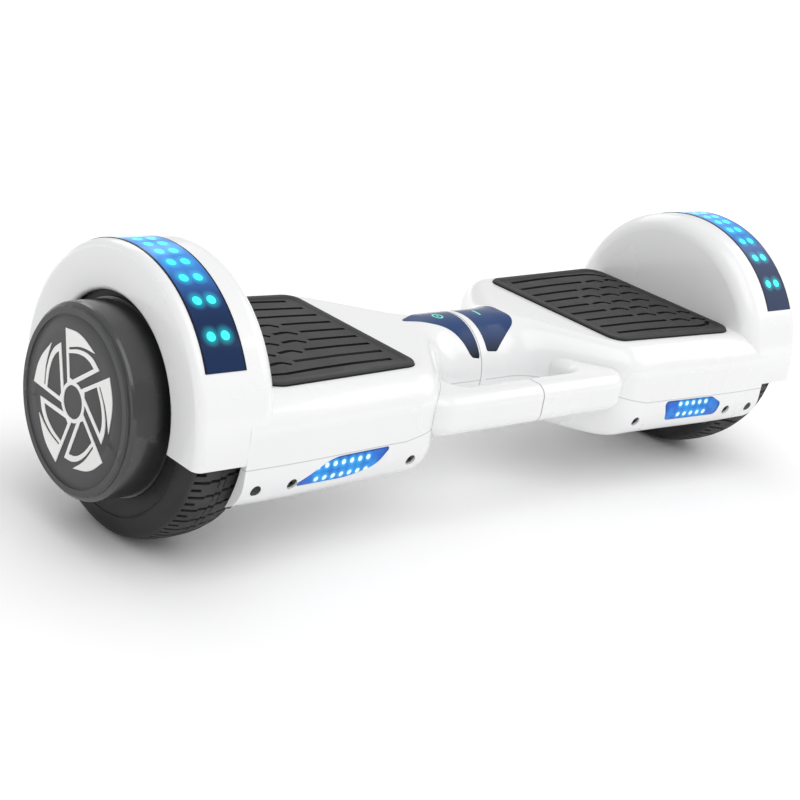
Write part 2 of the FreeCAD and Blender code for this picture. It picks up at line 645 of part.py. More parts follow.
def chassis(side):
    """Cast frame: base plate, side walls, axle block, twist socket and board posts."""
    base = box(CHASSIS_IN, CHASSIS_OUT, -CHASSIS_HALF, CHASSIS_HALF, CHASSIS_Z, CHASSIS_TOP)
    frame = base
    for y in (-CHASSIS_HALF, CHASSIS_HALF - CHASSIS_T):
        frame = frame.fuse(box(CHASSIS_IN, CHASSIS_OUT, y, y + CHASSIS_T, CHASSIS_Z,
                               CHASSIS_TOP + CHASSIS_WALL_H))
    frame = frame.fuse(box(CHASSIS_OUT - AXLE_BLOCK_L, CHASSIS_OUT, -AXLE_BLOCK_HALF, AXLE_BLOCK_HALF,
                           CHASSIS_Z, AXLE_Z - SEAT_GAP / 2))
    under_mat = mat_prism(MAT_FLOOR - MAT_FLOOR_T - SKIN_GAP, 2 * FENDER_R, MAT_FLOOR_T + SKIN_GAP)
    frame = frame.fuse(rod(SOCKET_R, SOCKET_START, CHASSIS_IN + CHASSIS_T, z=TWIST_Z).cut(under_mat))
    frame = frame.fuse(box(CHASSIS_IN, CHASSIS_IN + CHASSIS_T, -SOCKET_R, SOCKET_R, CHASSIS_Z, TWIST_Z))
    for x, y in post_places():
        frame = frame.fuse(Part.makeCylinder(POST_R, GYRO_Z - CHASSIS_TOP, vec(x, y, CHASSIS_TOP)))
    frame = frame.cut(rod(CLAMPED_AXLE_R + RUN_GAP, CHASSIS_OUT - AXLE_BLOCK_L - 5, CHASSIS_OUT + 5))
    bore = TUBE_R + RUN_GAP if side == "left" else TUBE_R + BUSH_T + 2 * RUN_GAP
    frame = frame.cut(rod(bore, 0, CHASSIS_IN + CHASSIS_T + 5, z=TWIST_Z))
    for x, y in clamp_bolt_places():
        frame = frame.cut(Part.makeCylinder(CLAMP_BOLT_R + RUN_GAP, CLAMP_BOLT_DEPTH + 5,
                                            vec(x, y, AXLE_Z - CLAMP_BOLT_DEPTH)))
    return frame.cut(pin_slot()) if side == "right" else frame


def pin_slot():
    """The slot in the right socket that lets the limit pin travel as far as the halves twist."""
    wide = PIN_R + SEAT_GAP
    flat = Part.Face(Part.makePolygon([vec(PIN_X - wide, -wide, TWIST_Z + TUBE_R / 2),
                                       vec(PIN_X + wide, -wide, TWIST_Z + TUBE_R / 2),
                                       vec(PIN_X + wide, -wide, TWIST_Z + SOCKET_R + 5),
                                       vec(PIN_X - wide, -wide, TWIST_Z + SOCKET_R + 5),
                                       vec(PIN_X - wide, -wide, TWIST_Z + TUBE_R / 2)]))
    cuts = []
    for turn in (-PIN_TRAVEL, -PIN_TRAVEL / 2, 0, PIN_TRAVEL / 2, PIN_TRAVEL):
        piece = flat.extrude(Y_AXIS * (2 * wide))
        piece.rotate(vec(PIN_X, 0, TWIST_Z), X_AXIS, turn)
        cuts.append(piece)
    return cuts[0].multiFuse(cuts[1:])


def axle():
    inner = CHASSIS_OUT - AXLE_BLOCK_L
    shaft = rod(CLAMPED_AXLE_R, inner, stator_start())
    journal = rod(AXLE_R, inner, outer_bearing_start() + BEARING_W + 2)
    return shaft.fuse(journal).cut(rod(AXLE_R / 2, inner - 1, stator_start() + 4))


def axle_clamp():
    inner = CHASSIS_OUT - AXLE_BLOCK_L
    block = box(inner, CHASSIS_OUT, -AXLE_BLOCK_HALF, AXLE_BLOCK_HALF, AXLE_Z + SEAT_GAP / 2,
                AXLE_Z + CLAMP_H)
    block = block.cut(rod(CLAMPED_AXLE_R + RUN_GAP, inner - 5, CHASSIS_OUT + 5))
    for x, y in clamp_bolt_places():
        block = block.cut(Part.makeCylinder(CLAMP_BOLT_R + RUN_GAP, 40, vec(x, y, AXLE_Z - 5)))
    return block


def clamp_bolt_places():
    x0 = CHASSIS_OUT - AXLE_BLOCK_L / 2
    y0 = (AXLE_BLOCK_HALF + CLAMPED_AXLE_R) / 2
    return [(x0 + i * AXLE_BLOCK_L / 4, j * y0) for i in (-1, 1) for j in (-1, 1)]


def clamp_bolts():
    bolts = []
    for x, y in clamp_bolt_places():
        shaft = Part.makeCylinder(CLAMP_BOLT_R, CLAMP_BOLT_DEPTH + CLAMP_H,
                                  vec(x, y, AXLE_Z - CLAMP_BOLT_DEPTH))
        head = Part.makeCylinder(CLAMP_BOLT_HEAD_R, CLAMP_BOLT_HEAD_H, vec(x, y, AXLE_Z + CLAMP_H))
        socket = Part.makeCylinder(CLAMP_BOLT_R * 0.8, CLAMP_BOLT_HEAD_H,
                                   vec(x, y, AXLE_Z + CLAMP_H + CLAMP_BOLT_HEAD_H / 2))
        bolts.append(shaft.fuse(head).cut(socket))
    return group(bolts)


def gyro_board():
    """Board on the posts, with a pedal switch under each plunger and a sensor."""
    x0, x1 = PLUNGER_X - GYRO_L / 2, PLUNGER_X + GYRO_L / 2
    board = box(x0, x1, -(CHASSIS_HALF - GYRO_MARGIN), (CHASSIS_HALF - GYRO_MARGIN), GYRO_Z, GYRO_Z + BOARD_T)
    half = SWITCH_SIDE / 2
    for y in (-PLUNGER_Y, PLUNGER_Y):
        board = board.fuse(box(PLUNGER_X - half, PLUNGER_X + half, y - half, y + half,
                               GYRO_Z + BOARD_T, SWITCH_TOP))
    return board.fuse(box(PLUNGER_X - 6, PLUNGER_X + 6, -6, 6, GYRO_Z + BOARD_T, GYRO_Z + BOARD_T + 1.5))


def tray_outline():
    """Room on the base plate between the socket web and the axle block."""
    x0 = CHASSIS_IN + CHASSIS_T + SEAT_GAP
    half = CHASSIS_HALF - GYRO_MARGIN - 2 * POST_R - SEAT_GAP
    return x0, x0 + TRAY_L, half


def battery():
    """Shrink wrapped pack of cells, rounded along its long edges."""
    x0, x1, half = tray_outline()
    z0 = CHASSIS_TOP + SEAT_GAP
    corners = [vec(x0, -half, z0), vec(x0, half, z0), vec(x0, half, z0 + BATTERY_H),
               vec(x0, -half, z0 + BATTERY_H)]
    return plate(corners, [6] * 4, x1 - x0, X_AXIS)


def main_board():
    """Controller on its heat sink, with the power transistors and capacitors."""
    x0, x1, half = tray_outline()
    z0 = CHASSIS_TOP + SEAT_GAP
    sink = box(x0, x1, -half, half, z0, z0 + SINK_H)
    for i in range(8):
        y = -half + 6 + i * (2 * half - 12) / 8
        sink = sink.cut(box(x0 - 1, x1 + 1, y, y + 4, z0 + 3, z0 + SINK_H - 3))
    top = z0 + SINK_H + BOARD_T
    board = sink.fuse(box(x0, x1, -half, half, z0 + SINK_H, top))
    for i in range(6):
        x = x0 + 14 + i * 12
        board = board.fuse(box(x, x + 8, half - 14, half - 4, top, top + 4))
    for y in (-half + 14, -half + 32):
        board = board.fuse(Part.makeCylinder(6, 14, vec(x1 - 16, y, top)))
    return board.fuse(box(x0 + HEADER_X - 5, x0 + HEADER_X + 5, -8, 8, top, top + HEADER_H))


# ---- twist pivot -------------------------------------------------------------------------
def pivot_tube():
    body = tube(TUBE_R, TUBE_BORE_R, -TUBE_END, TUBE_END, z=TWIST_Z)
    body = body.cut(Part.makeCylinder(PIN_R + RUN_GAP, TUBE_R + 5, vec(PIN_X, 0, TWIST_Z)))
    x = ring_place()
    groove = tube(TUBE_R + 1, TUBE_R - RING_GROOVE, x, x + RING_T + 2 * RUN_GAP, z=TWIST_Z)
    return body.cut(groove)


def ring_place():
    """The retaining ring sits just outboard of the outer bush."""
    return SOCKET_START + BUSH_PLACES[1] + BUSH_L + SEAT_GAP


def pivot_bushes():
    bushes = []
    for place in BUSH_PLACES:
        x = SOCKET_START + place
        bushes.append(tube(TUBE_R + RUN_GAP + BUSH_T, TUBE_R + RUN_GAP, x, x + BUSH_L, z=TWIST_Z))
    return group(bushes)


def retaining_ring():
    x = ring_place() + RUN_GAP
    ring = tube(TUBE_R + BUSH_T, TUBE_R - RING_GROOVE + RUN_GAP, x, x + RING_T, z=TWIST_Z)
    return ring.cut(box(x - 1, x + RING_T + 1, -3, 3, TWIST_Z - TUBE_R - BUSH_T - 1, TWIST_Z))


def limit_pin():
    start = TWIST_Z + TUBE_BORE_R
    return Part.makeCylinder(PIN_R, SOCKET_R - TUBE_BORE_R - 1, vec(PIN_X, 0, start))


# ---- wheel -------------------------------------------------------------------------------
def rim_start():
    return TYRE_IN + 1.0


def stator_start():
    return rim_start() + COVER_T + BEARING_W + 1.0


def outer_web():
    return TYRE_OUT - COVER_T


def outer_bearing_start():
    return outer_web() + COVER_T


def tyre():
    """Tyre with rounded shoulders, a crown band and a bead seat."""
    body = round_disc(TYRE_IN, TYRE_OUT, TYRE_R, TYRE_SHOULDER, TYRE_SHOULDER)
    body = body.cut(rod(RIM_R + SKIN_GAP, TYRE_IN - 1, TYRE_OUT + 1))
    for x in (TYRE_IN + TYRE_W * 0.36, TYRE_IN + TYRE_W * 0.64):
        body = body.cut(tube(TYRE_R + 1, TYRE_R - 2.0, x - 1, x + 1))
    return body


def rotor_rim():
    start, end = rim_start(), outer_web() - SEAT_GAP
    return turned([(start + COVER_T + SEAT_GAP, RIM_R - RIM_T), (end, RIM_R - RIM_T),
                   (end, RIM_R), (start + COVER_T + SEAT_GAP, RIM_R)])


def motor_cover_inner():
    start = rim_start()
    bore = CLAMPED_AXLE_R + 1.0
    seat = BEARING_R + RUN_GAP
    end = start + COVER_T
    return turned([(start, bore), (start, RIM_R), (end, RIM_R), (end, seat + COVER_T),
                   (end + BEARING_W, seat + COVER_T), (end + BEARING_W, seat), (end, seat), (end, bore)])


def motor_cover_outer():
    """Cup that closes the motor, carries the outer bearing and stands proud of the fender."""
    web = outer_web()
    seat = BEARING_R + RUN_GAP
    face = HUB_FACE - HUB_DISC_T
    round_rim = 2.5
    return turned([(web, RIM_R), (web, AXLE_R + 2), (web + COVER_T, AXLE_R + 2), (web + COVER_T, seat),
                   (web + COVER_T + BEARING_W, seat), (web + COVER_T + BEARING_W, seat + COVER_T),
                   (web + COVER_T, seat + COVER_T), (web + COVER_T, HUB_R - WALL),
                   (face - WALL, HUB_R - WALL), (face - WALL, 0), (face, 0), (face, HUB_R - round_rim),
                   (face - round_rim * 0.3, HUB_R - round_rim * 0.3), (face - round_rim, HUB_R),
                   (web + COVER_T, HUB_R), (web + COVER_T, RIM_R)])


def hub_disc():
    face = HUB_FACE - HUB_DISC_T
    return turned([(face, 0), (HUB_FACE, 0), (HUB_FACE, HUB_DISC_R - 1), (HUB_FACE - 1, HUB_DISC_R),
                   (face, HUB_DISC_R)])


def wheel_bearings():
    rings = []
    clamped = CLAMPED_AXLE_R + RUN_GAP
    for x, bore in ((rim_start() + COVER_T, clamped), (outer_bearing_start(), AXLE_R + RUN_GAP)):
        rings.append(tube(BEARING_R, bore, x + RUN_GAP, x + BEARING_W - RUN_GAP))
    return group(rings)


def stator():
    """Laminated core on the axle with open slots for the windings."""
    radius = RIM_R - RIM_T - STATOR_GAP
    start = stator_start()
    end = outer_web() - 2.0
    core = tube(radius, AXLE_R + RUN_GAP, start, end)
    slot = box(start - 1, end + 1, -SLOT_W / 2, SLOT_W / 2, AXLE_Z + radius - SLOT_DEPTH, AXLE_Z + radius + 5)
    slots = []
    for i in range(STATOR_SLOTS):
        cut = slot.copy()
        cut.rotate(vec(0, 0, AXLE_Z), X_AXIS, i * 360.0 / STATOR_SLOTS)
        slots.append(cut)
    return core.cut(group(slots))


def arch_liner():
    """Dark plate on the wheel wall, open for the motor's inner cover and the axle."""
    x = DECK_END + WALL + SKIN_GAP
    ring = tube(LINER_R, CLAMPED_AXLE_R + 1.5, x, x + LINER_T)
    corners = [vec(x - 1, -LINER_R - 1, LINER_BOTTOM), vec(x - 1, LINER_R + 1, LINER_BOTTOM),
               vec(x - 1, LINER_R + 1, 2 * FENDER_R), vec(x - 1, -LINER_R - 1, 2 * FENDER_R)]
    return ring.common(plate(corners, [14, 14, 1, 1], LINER_T + 2, X_AXIS))


# ---- rear trim of the left half ----------------------------------------------------------
def port_boss():
    """Thick place inside the rear wall that holds the charge socket."""
    y = half_depth(PORT_X)
    return Part.makeCylinder(CAP_R + 4, 12, vec(PORT_X, y - 10, TRIM_Z), Y_AXIS)


def rear_trim_cuts():
    """Openings in the rear wall for the power button, the charge socket and its cap."""
    port_y = half_depth(PORT_X)
    button = Part.makeCylinder(BUTTON_R + SEAT_GAP, 20, vec(BUTTON_X, half_depth(BUTTON_X) - 10, TRIM_Z),
                               Y_AXIS)
    port = Part.makeCylinder(PORT_R + SKIN_GAP, 40, vec(PORT_X, port_y - 30, TRIM_Z), Y_AXIS)
    pocket = Part.makeCylinder(CAP_R + SEAT_GAP, 20, vec(PORT_X, cap_back(), TRIM_Z), Y_AXIS)
    ear = CAP_KNUCKLE_R + 1.0
    hinge_room = box(PORT_X - 4 - SEAT_GAP, PORT_X + 4 + SEAT_GAP, cap_back(), port_y + 20,
                     TRIM_Z, TRIM_Z + CAP_R + 2 * ear)
    return [button, port, pocket, hinge_room]


def cap_back():
    """Back plane of the charge socket's cap, in its pocket."""
    return half_depth(PORT_X) - CAP_T - SEAT_GAP


def cap_axis_z():
    return TRIM_Z + CAP_R + CAP_KNUCKLE_R


def socket_cap():
    y0 = cap_back() + SKIN_GAP
    disc = Part.makeCylinder(CAP_R, CAP_T, vec(PORT_X, y0, TRIM_Z), Y_AXIS)
    strap = box(PORT_X - 4, PORT_X + 4, y0, y0 + CAP_T, TRIM_Z, cap_axis_z())
    knuckle = Part.makeCylinder(CAP_T / 2, 8, vec(PORT_X - 4, y0 + CAP_T / 2, cap_axis_z()), X_AXIS)
    return disc.fuse(strap).fuse(knuckle)


def charge_socket():
    """Round three pin socket, open to the rear."""
    y1 = cap_back() - SKIN_GAP
    body = Part.makeCylinder(PORT_R, PORT_LENGTH, vec(PORT_X, y1 - PORT_LENGTH, TRIM_Z), Y_AXIS)
    bottom = y1 - PORT_BORE_DEPTH
    body = body.cut(Part.makeCylinder(PORT_BORE_R, PORT_BORE_DEPTH + 5, vec(PORT_X, bottom, TRIM_Z), Y_AXIS))
    for i in range(3):
        angle = math.radians(90 + 120 * i)
        x = PORT_X + PORT_PIN_CIRCLE * math.cos(angle)
        z = TRIM_Z + PORT_PIN_CIRCLE * math.sin(angle)
        body = body.fuse(Part.makeCylinder(PORT_PIN_R, PORT_PIN_LENGTH, vec(x, bottom, z), Y_AXIS))
    return body


def power_button():
    """Round push button with a flange behind the wall."""
    y = half_depth(BUTTON_X)
    wall_back = y - WALL
    cap = Part.makeCylinder(BUTTON_R, WALL + BUTTON_TRAVEL + 1.0,
                            vec(BUTTON_X, wall_back - 1.0, TRIM_Z), Y_AXIS)
    flange_r = BUTTON_R + BUTTON_FLANGE
    nearest_wall = half_depth(BUTTON_X - flange_r) - WALL
    flange = Part.makeCylinder(flange_r, BUTTON_FLANGE,
                               vec(BUTTON_X, nearest_wall - SEAT_GAP - BUTTON_FLANGE, TRIM_Z), Y_AXIS)
    return cap.fuse(flange)


# ---- wiring ------------------------------------------------------------------------------
def wire(points, radius):
    """A bundle along straight runs joined by tangent arcs."""
    edges = []
    start = points[0]
    for i in range(1, len(points) - 1):
        corner = points[i]
        back = points[i - 1] - corner
        ahead = points[i + 1] - corner
        reach = 0.45 * min(back.Length, ahead.Length)
        back.normalize()
        ahead.normalize()
        half_turn = back.getAngle(ahead) / 2
        bend = reach * math.tan(half_turn)
        bisector = (back + ahead).normalize()
        middle = corner + bisector * (bend / math.sin(half_turn) - bend)
        edges.append(Part.makeLine(start, corner + back * reach))
        edges.append(Part.Arc(corner + back * reach, middle, corner + ahead * reach).toShape())
        start = corner + ahead * reach
    edges.append(Part.makeLine(start, points[-1]))
    path = Part.Wire(edges)
    first_run = (points[1] - points[0]).normalize()
    circle = Part.Wire(Part.makeCircle(radius, points[0], first_run))
    return path.makePipeShell([circle], True, True)


def left_wiring():
    """Loom from the controller through the twist tube to the plug on the other side."""
    x0, x1, _ = tray_outline()
    top = CHASSIS_TOP + SEAT_GAP + SINK_H + BOARD_T + HEADER_H
    header = vec(x0 + HEADER_X, 0, top)
    points = [header, header + vec(0, 0, TWIST_Z - top + 4), vec(x0 - 12, 0, TWIST_Z),
              vec(-TUBE_END - 4, 0, TWIST_Z)]
    plug = box(-TUBE_END - 12, -TUBE_END - 4, -6, 6, TWIST_Z - 5, TWIST_Z + 5)
    loom = wire(points, WIRE_R).fuse(plug)
    return group([loom, motor_lead(vec(x1 - 30, 0, CHASSIS_TOP + SEAT_GAP + SINK_H + BOARD_T))])


def motor_lead(end):
    """The motor's wires, out of the hollow axle to the board that they end on."""
    start = CHASSIS_OUT - AXLE_BLOCK_L
    return wire([vec(start + 6, 0, AXLE_Z), vec(end.x, 0, AXLE_Z), end], AXLE_R / 2 - SEAT_GAP)


def right_wiring():
    """Loom from the plug beside the twist tube up to the gyro board."""
    start = TUBE_END + 12 + SEAT_GAP
    plug = box(start, start + 8, -6, 6, TWIST_Z - 5, TWIST_Z + 5)
    top = vec(PLUNGER_X - 12, 0, GYRO_Z)
    points = [vec(start + 8, 0, TWIST_Z), vec(top.x, 0, TWIST_Z), top]
    return group([wire(points, WIRE_R).fuse(plug), motor_lead(vec(PLUNGER_X + 12, 0, GYRO_Z))])


# ---- the board ---------------------------------------------------------------------------
def build_half(side):
    upper, lower, lens = shell_parts(side)
    pieces = {
        "upper_shell": upper, "lower_shell": lower, "front_lens": lens,
        "foot_mat": foot_mat(), "switch_plungers": switch_plungers(),
        "fender_light_cover": fender_light_cover(), "fender_light_strip": fender_light_strip(),
        "front_lamp": front_lamp(side), "handle": handle(side), "centre_cover": centre_cover(side),
        "arch_liner": arch_liner(), "chassis": chassis(side), "gyro_board": gyro_board(),
        "axle": axle(), "axle_clamp": axle_clamp(), "clamp_bolts": clamp_bolts(), "stator": stator(),
        "rotor_rim": rotor_rim(), "motor_cover_outer": motor_cover_outer(),
        "motor_cover_inner": motor_cover_inner(), "hub_disc": hub_disc(), "tyre": tyre(),
        "wheel_bearings": wheel_bearings(), "shell_screws": shell_screws(),
    }
    for name, shape in pieces.items():
        save(side + "_" + name, shape, side)


for half in ("left", "right"):
    build_half(half)
save("seam_ring", seam_ring())
save("pivot_tube", pivot_tube())
save("pivot_bushes", pivot_bushes())
save("retaining_ring", retaining_ring())
save("limit_pin", limit_pin())
save("battery", battery())
save("main_board", main_board(), "left")
save("power_button", power_button(), "left")
save("charge_socket", charge_socket(), "left")
save("socket_cap", socket_cap(), "left")
save("left_wiring", left_wiring(), "left")
save("right_wiring", right_wiring())
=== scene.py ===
import math

import bmesh
import bpy
from mathutils import Matrix, Vector


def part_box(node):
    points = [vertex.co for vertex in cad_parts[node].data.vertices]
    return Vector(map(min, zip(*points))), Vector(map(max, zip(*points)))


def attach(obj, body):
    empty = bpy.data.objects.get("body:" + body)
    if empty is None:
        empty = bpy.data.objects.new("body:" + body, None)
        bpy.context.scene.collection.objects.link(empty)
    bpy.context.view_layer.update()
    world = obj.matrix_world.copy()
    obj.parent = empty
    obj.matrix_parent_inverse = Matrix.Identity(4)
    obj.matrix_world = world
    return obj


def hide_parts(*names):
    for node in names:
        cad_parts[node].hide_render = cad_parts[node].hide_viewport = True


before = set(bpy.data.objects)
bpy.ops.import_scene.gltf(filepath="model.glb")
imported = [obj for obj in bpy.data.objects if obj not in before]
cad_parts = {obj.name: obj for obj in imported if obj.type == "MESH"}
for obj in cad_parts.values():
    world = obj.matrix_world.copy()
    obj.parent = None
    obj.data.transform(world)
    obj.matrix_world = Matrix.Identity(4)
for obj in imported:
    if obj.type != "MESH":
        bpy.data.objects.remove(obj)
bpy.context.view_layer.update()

bl_info = {
    "name": "Balance board finish",
    "version": (1, 0, 0),
    "blender": (4, 5, 0),
    "location": "View3D > Sidebar > Balance board",
    "description": "Tyres, foot mats, hub discs and finishes of a two-wheeled balance board",
    "category": "Object",
}

MM = 0.001
SIDES = ("left", "right")


# ---- places taken from the frame -------------------------------------
def middle(node):
    low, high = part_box(node)
    return (low + high) / 2


AXLE_Z = middle("right_tyre").z
TYRE_LOW, TYRE_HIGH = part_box("right_tyre")
TYRE_RADIUS = (TYRE_HIGH.z - TYRE_LOW.z) / 2
STRIP_LOW, STRIP_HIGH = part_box("right_fender_light_cover")
STRIP_RADIUS = STRIP_HIGH.z - AXLE_Z
SPLIT_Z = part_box("right_front_lens")[1].z + 0.9 * MM
TWIST_Z = middle("seam_ring").z


# ---- settings --------------------------------------------------------
class ShellSettings(bpy.types.PropertyGroup):
    colour: bpy.props.FloatVectorProperty(
        name="Shell colour", description="White of the moulded shells", subtype="COLOR",
        size=4, min=0.0, max=1.0, default=(0.80, 0.802, 0.808, 1.0))
    joint_width: bpy.props.FloatProperty(
        name="Joint width", description="Width of the line where the two shells meet",
        unit="LENGTH", default=0.5 * MM)


class LightSettings(bpy.types.PropertyGroup):
    point_colour: bpy.props.FloatVectorProperty(
        name="Point colour", description="Light points under the fender covers", subtype="COLOR",
        size=4, min=0.0, max=1.0, default=(0.03, 0.86, 0.95, 1.0))
    lens_colour: bpy.props.FloatVectorProperty(
        name="Lens colour", description="Blue of the front lenses", subtype="COLOR",
        size=4, min=0.0, max=1.0, default=(0.006, 0.095, 0.46, 1.0))
    rows_per_radian: bpy.props.FloatProperty(
        name="Rows per radian", description="Rows of fender light points at the very top",
        default=8.57)
    rows_thin_out: bpy.props.FloatProperty(
        name="Rows thin out", description="How much the rows stand wider apart towards the ends",
        default=3.12)
    column_pitch: bpy.props.FloatProperty(
        name="Column pitch", description="Distance between the two columns of points",
        unit="LENGTH", default=9.4 * MM)
    point_radius: bpy.props.FloatProperty(
        name="Point radius", description="Radius of a fender light point",
        unit="LENGTH", default=2.8 * MM)
    lamp_pitch: bpy.props.FloatProperty(
        name="Lamp pitch", description="Distance between the points of a front lamp",
        unit="LENGTH", default=6.6 * MM)
    lamp_point: bpy.props.FloatProperty(
        name="Lamp point", description="Radius of a point of a front lamp",
        unit="LENGTH", default=1.7 * MM)
    lamp_rows: bpy.props.FloatProperty(
        name="Lamp rows", description="Distance between the two rows of a front lamp",
        unit="LENGTH", default=8.0 * MM)


class TyreSettings(bpy.types.PropertyGroup):
    pitches: bpy.props.IntProperty(
        name="Pitches", description="Repeats of the tread around the tyre", default=48, min=12)
    depth: bpy.props.FloatProperty(
        name="Tread depth", description="Depth of the grooves", unit="LENGTH", default=2.2 * MM)
    crown_drop: bpy.props.FloatProperty(
        name="Crown drop", description="How much lower the tread's edge is than its middle",
        unit="LENGTH", default=2.4 * MM)


class MatSettings(bpy.types.PropertyGroup):
    rim: bpy.props.FloatProperty(
        name="Rim", description="Width of the raised edge", unit="LENGTH", default=3.4 * MM)
    rim_height: bpy.props.FloatProperty(
        name="Rim height", description="Rim above the grooved field", unit="LENGTH",
        default=0.7 * MM)
    groove: bpy.props.FloatProperty(
        name="Groove", description="Half width of a groove", unit="LENGTH", default=1.7 * MM)
    spacing: bpy.props.FloatProperty(
        name="Spacing", description="Distance between grooves at the inner end",
        unit="LENGTH", default=13.2 * MM)
    fan: bpy.props.FloatProperty(
        name="Fan", description="How much wider the grooves stand at the wheel end", default=1.12)


class DiscSettings(bpy.types.PropertyGroup):
    blades: bpy.props.IntProperty(
        name="Blades", description="Blades of the swirl", default=5, min=3)
    turn: bpy.props.FloatProperty(
        name="Turn", description="How far the first blade leans from upright", subtype="ANGLE",
        default=math.radians(10.0))
    height: bpy.props.FloatProperty(
        name="Height", description="Thickness of the raised swirl", unit="LENGTH",
        default=0.45 * MM)
    colour: bpy.props.FloatVectorProperty(
        name="Swirl colour", description="White of the raised swirl", subtype="COLOR",
        size=4, min=0.0, max=1.0, default=(0.86, 0.86, 0.85, 1.0))


class StageSettings(bpy.types.PropertyGroup):
    floor: bpy.props.FloatProperty(
        name="Floor", description="Side of the floor", unit="LENGTH", default=14.0)
    lens: bpy.props.FloatProperty(
        name="Lens", description="Focal length in millimetres", default=78.43)
    key: bpy.props.FloatProperty(
        name="Key light", description="Power of the large light above", unit="POWER",
        default=28.0)


SETTINGS = {
    "board_shell": ShellSettings, "board_lights": LightSettings, "board_tyre": TyreSettings,
    "board_mat": MatSettings, "board_disc": DiscSettings, "board_stage": StageSettings,
}


# ---- selecting and shaping -------------------------------------------
def link(item):
    bpy.context.scene.collection.objects.link(item)


def select_mesh():
    bpy.ops.mesh.select_all(action="SELECT")


def only(piece):
    """Make this the one selected and active object."""
    if bpy.context.object and bpy.context.object.mode != "OBJECT":
        bpy.ops.object.mode_set(mode="OBJECT")
    bpy.ops.object.select_all(action="DESELECT")
    piece.select_set(True)
    bpy.context.view_layer.objects.active = piece


def select_by(kind):
    bpy.context.tool_settings.mesh_select_mode = (kind == "VERT", kind == "EDGE", kind == "FACE")


def edit(piece):
    only(piece)
    bpy.ops.object.mode_set(mode="EDIT")
    select_by("FACE")


def done():
    bpy.ops.object.mode_set(mode="OBJECT")


def pick(piece, kind, test):
    """Select the vertices, edges or faces for which the test holds."""
    mesh = bmesh.from_edit_mesh(piece.data)
    groups = {"VERT": mesh.verts, "EDGE": mesh.edges, "FACE": mesh.faces}
    for vertex in mesh.verts:
        vertex.select = False
    mesh.select_flush(False)
    chosen = [item for item in groups[kind] if test(item)]
    for item in chosen:
        item.select = True
    mesh.select_flush_mode()
    bmesh.update_edit_mesh(piece.data)
    if not chosen:
        raise RuntimeError("nothing to select on " + piece.name)


def new_piece(name):
    piece = bpy.context.object
    piece.name = name
    piece.data.name = name
    bpy.ops.object.transform_apply(location=True, rotation=True, scale=True)
    return piece


def copy_of_node(node, name):
    """A merged copy of a CAD node's mesh, with its flat faces made whole."""
    piece = bpy.data.objects.new(name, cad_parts[node].data.copy())
    piece.data.name = name
    piece.data.materials.clear()
    link(piece)
    edit(piece)
    select_mesh()
    bpy.ops.mesh.remove_doubles(threshold=0.002 * MM)
    bpy.ops.mesh.dissolve_limited(angle_limit=math.radians(1.0))
    done()
    return piece


def weld(piece):
    """Merge the doubles that a converted curve leaves, and turn its faces outwards."""
    edit(piece)
    select_mesh()
    bpy.ops.mesh.remove_doubles(threshold=0.002 * MM)
    bpy.ops.mesh.normals_make_consistent(inside=False)
    done()


def from_curve(curve):
    """A welded mesh piece made from a curve."""
    item = bpy.data.objects.new(curve.name, curve)
    link(item)
    only(item)
    bpy.ops.object.convert(target="MESH")
    weld(bpy.context.object)
    return bpy.context.object


def mirrored_copy(piece, name):
    """The same piece for the other half, with its faces turned outwards again."""
    twin = bpy.data.objects.new(name, piece.data.copy())
    twin.data.name = name
    link(twin)
    edit(twin)
    select_mesh()
    bpy.ops.transform.resize(value=(-1, 1, 1), center_override=(0, 0, 0))
    bpy.ops.mesh.normals_make_consistent(inside=False)
    done()
    return twin


def smooth(piece, degrees=30.0):
    only(piece)
    bpy.ops.object.shade_smooth_by_angle(angle=math.radians(degrees))


def seat(piece, body, slot, *nodes):
    """The piece rides on its body and stands for its nodes, which it hides; its slot is not used."""
    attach(piece, body)
    if nodes:
        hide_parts(*nodes)


# ---- node trees ------------------------------------------------------
class Graph:
    """Adds nodes to one tree; a socket or a plain value may feed any input."""

    def __init__(self, tree):
        self.tree = tree

    def feed(self, socket, value):
        if isinstance(value, bpy.types.NodeSocket):
            self.tree.links.new(value, socket)
        else:
            socket.default_value = value

    def add(self, kind, inputs=(), **settings):
        node = self.tree.nodes.new("ShaderNode" + kind)
        for key, value in settings.items():
            setattr(node, key, value)
        for key, value in dict(inputs).items():
            self.feed(node.inputs[key], value)
        return node

    def math(self, operation, a, b=0.0):
        return self.add("Math", {0: a, 1: b}, operation=operation).outputs[0]

    def distance(self, a, b):
        squares = self.math("ADD", self.math("MULTIPLY", a, a), self.math("MULTIPLY", b, b))
        return self.math("SQRT", squares)

    def fade(self, value, start, end, low=0.0, high=1.0):
        """A soft step from one value to another between start and end."""
        inputs = {0: value, 1: start, 2: end, 3: low, 4: high}
        return self.add("MapRange", inputs, interpolation_type="SMOOTHSTEP").outputs[0]

    def mix(self, factor, a, b):
        return self.add("Mix", {0: factor, 6: a, 7: b}, data_type="RGBA").outputs[2]

    def object_axes(self):
        """Object coordinates as a vector and as x, y and z."""
        vector = self.add("TexCoord").outputs["Object"]
        axes = self.add("SeparateXYZ", {0: vector}).outputs
        return vector, axes[0], axes[1], axes[2]

    def axle_distance(self):
        """Distance from the wheels' axis."""
        _, _, y, z = self.object_axes()
        return self.distance(y, self.math("SUBTRACT", z, AXLE_Z))

    def noise(self, vector, scale, detail=2.0, roughness=0.5):
        inputs = {"Vector": vector, "Scale": scale, "Detail": detail, "Roughness": roughness}
        return self.add("TexNoise", inputs).outputs[0]


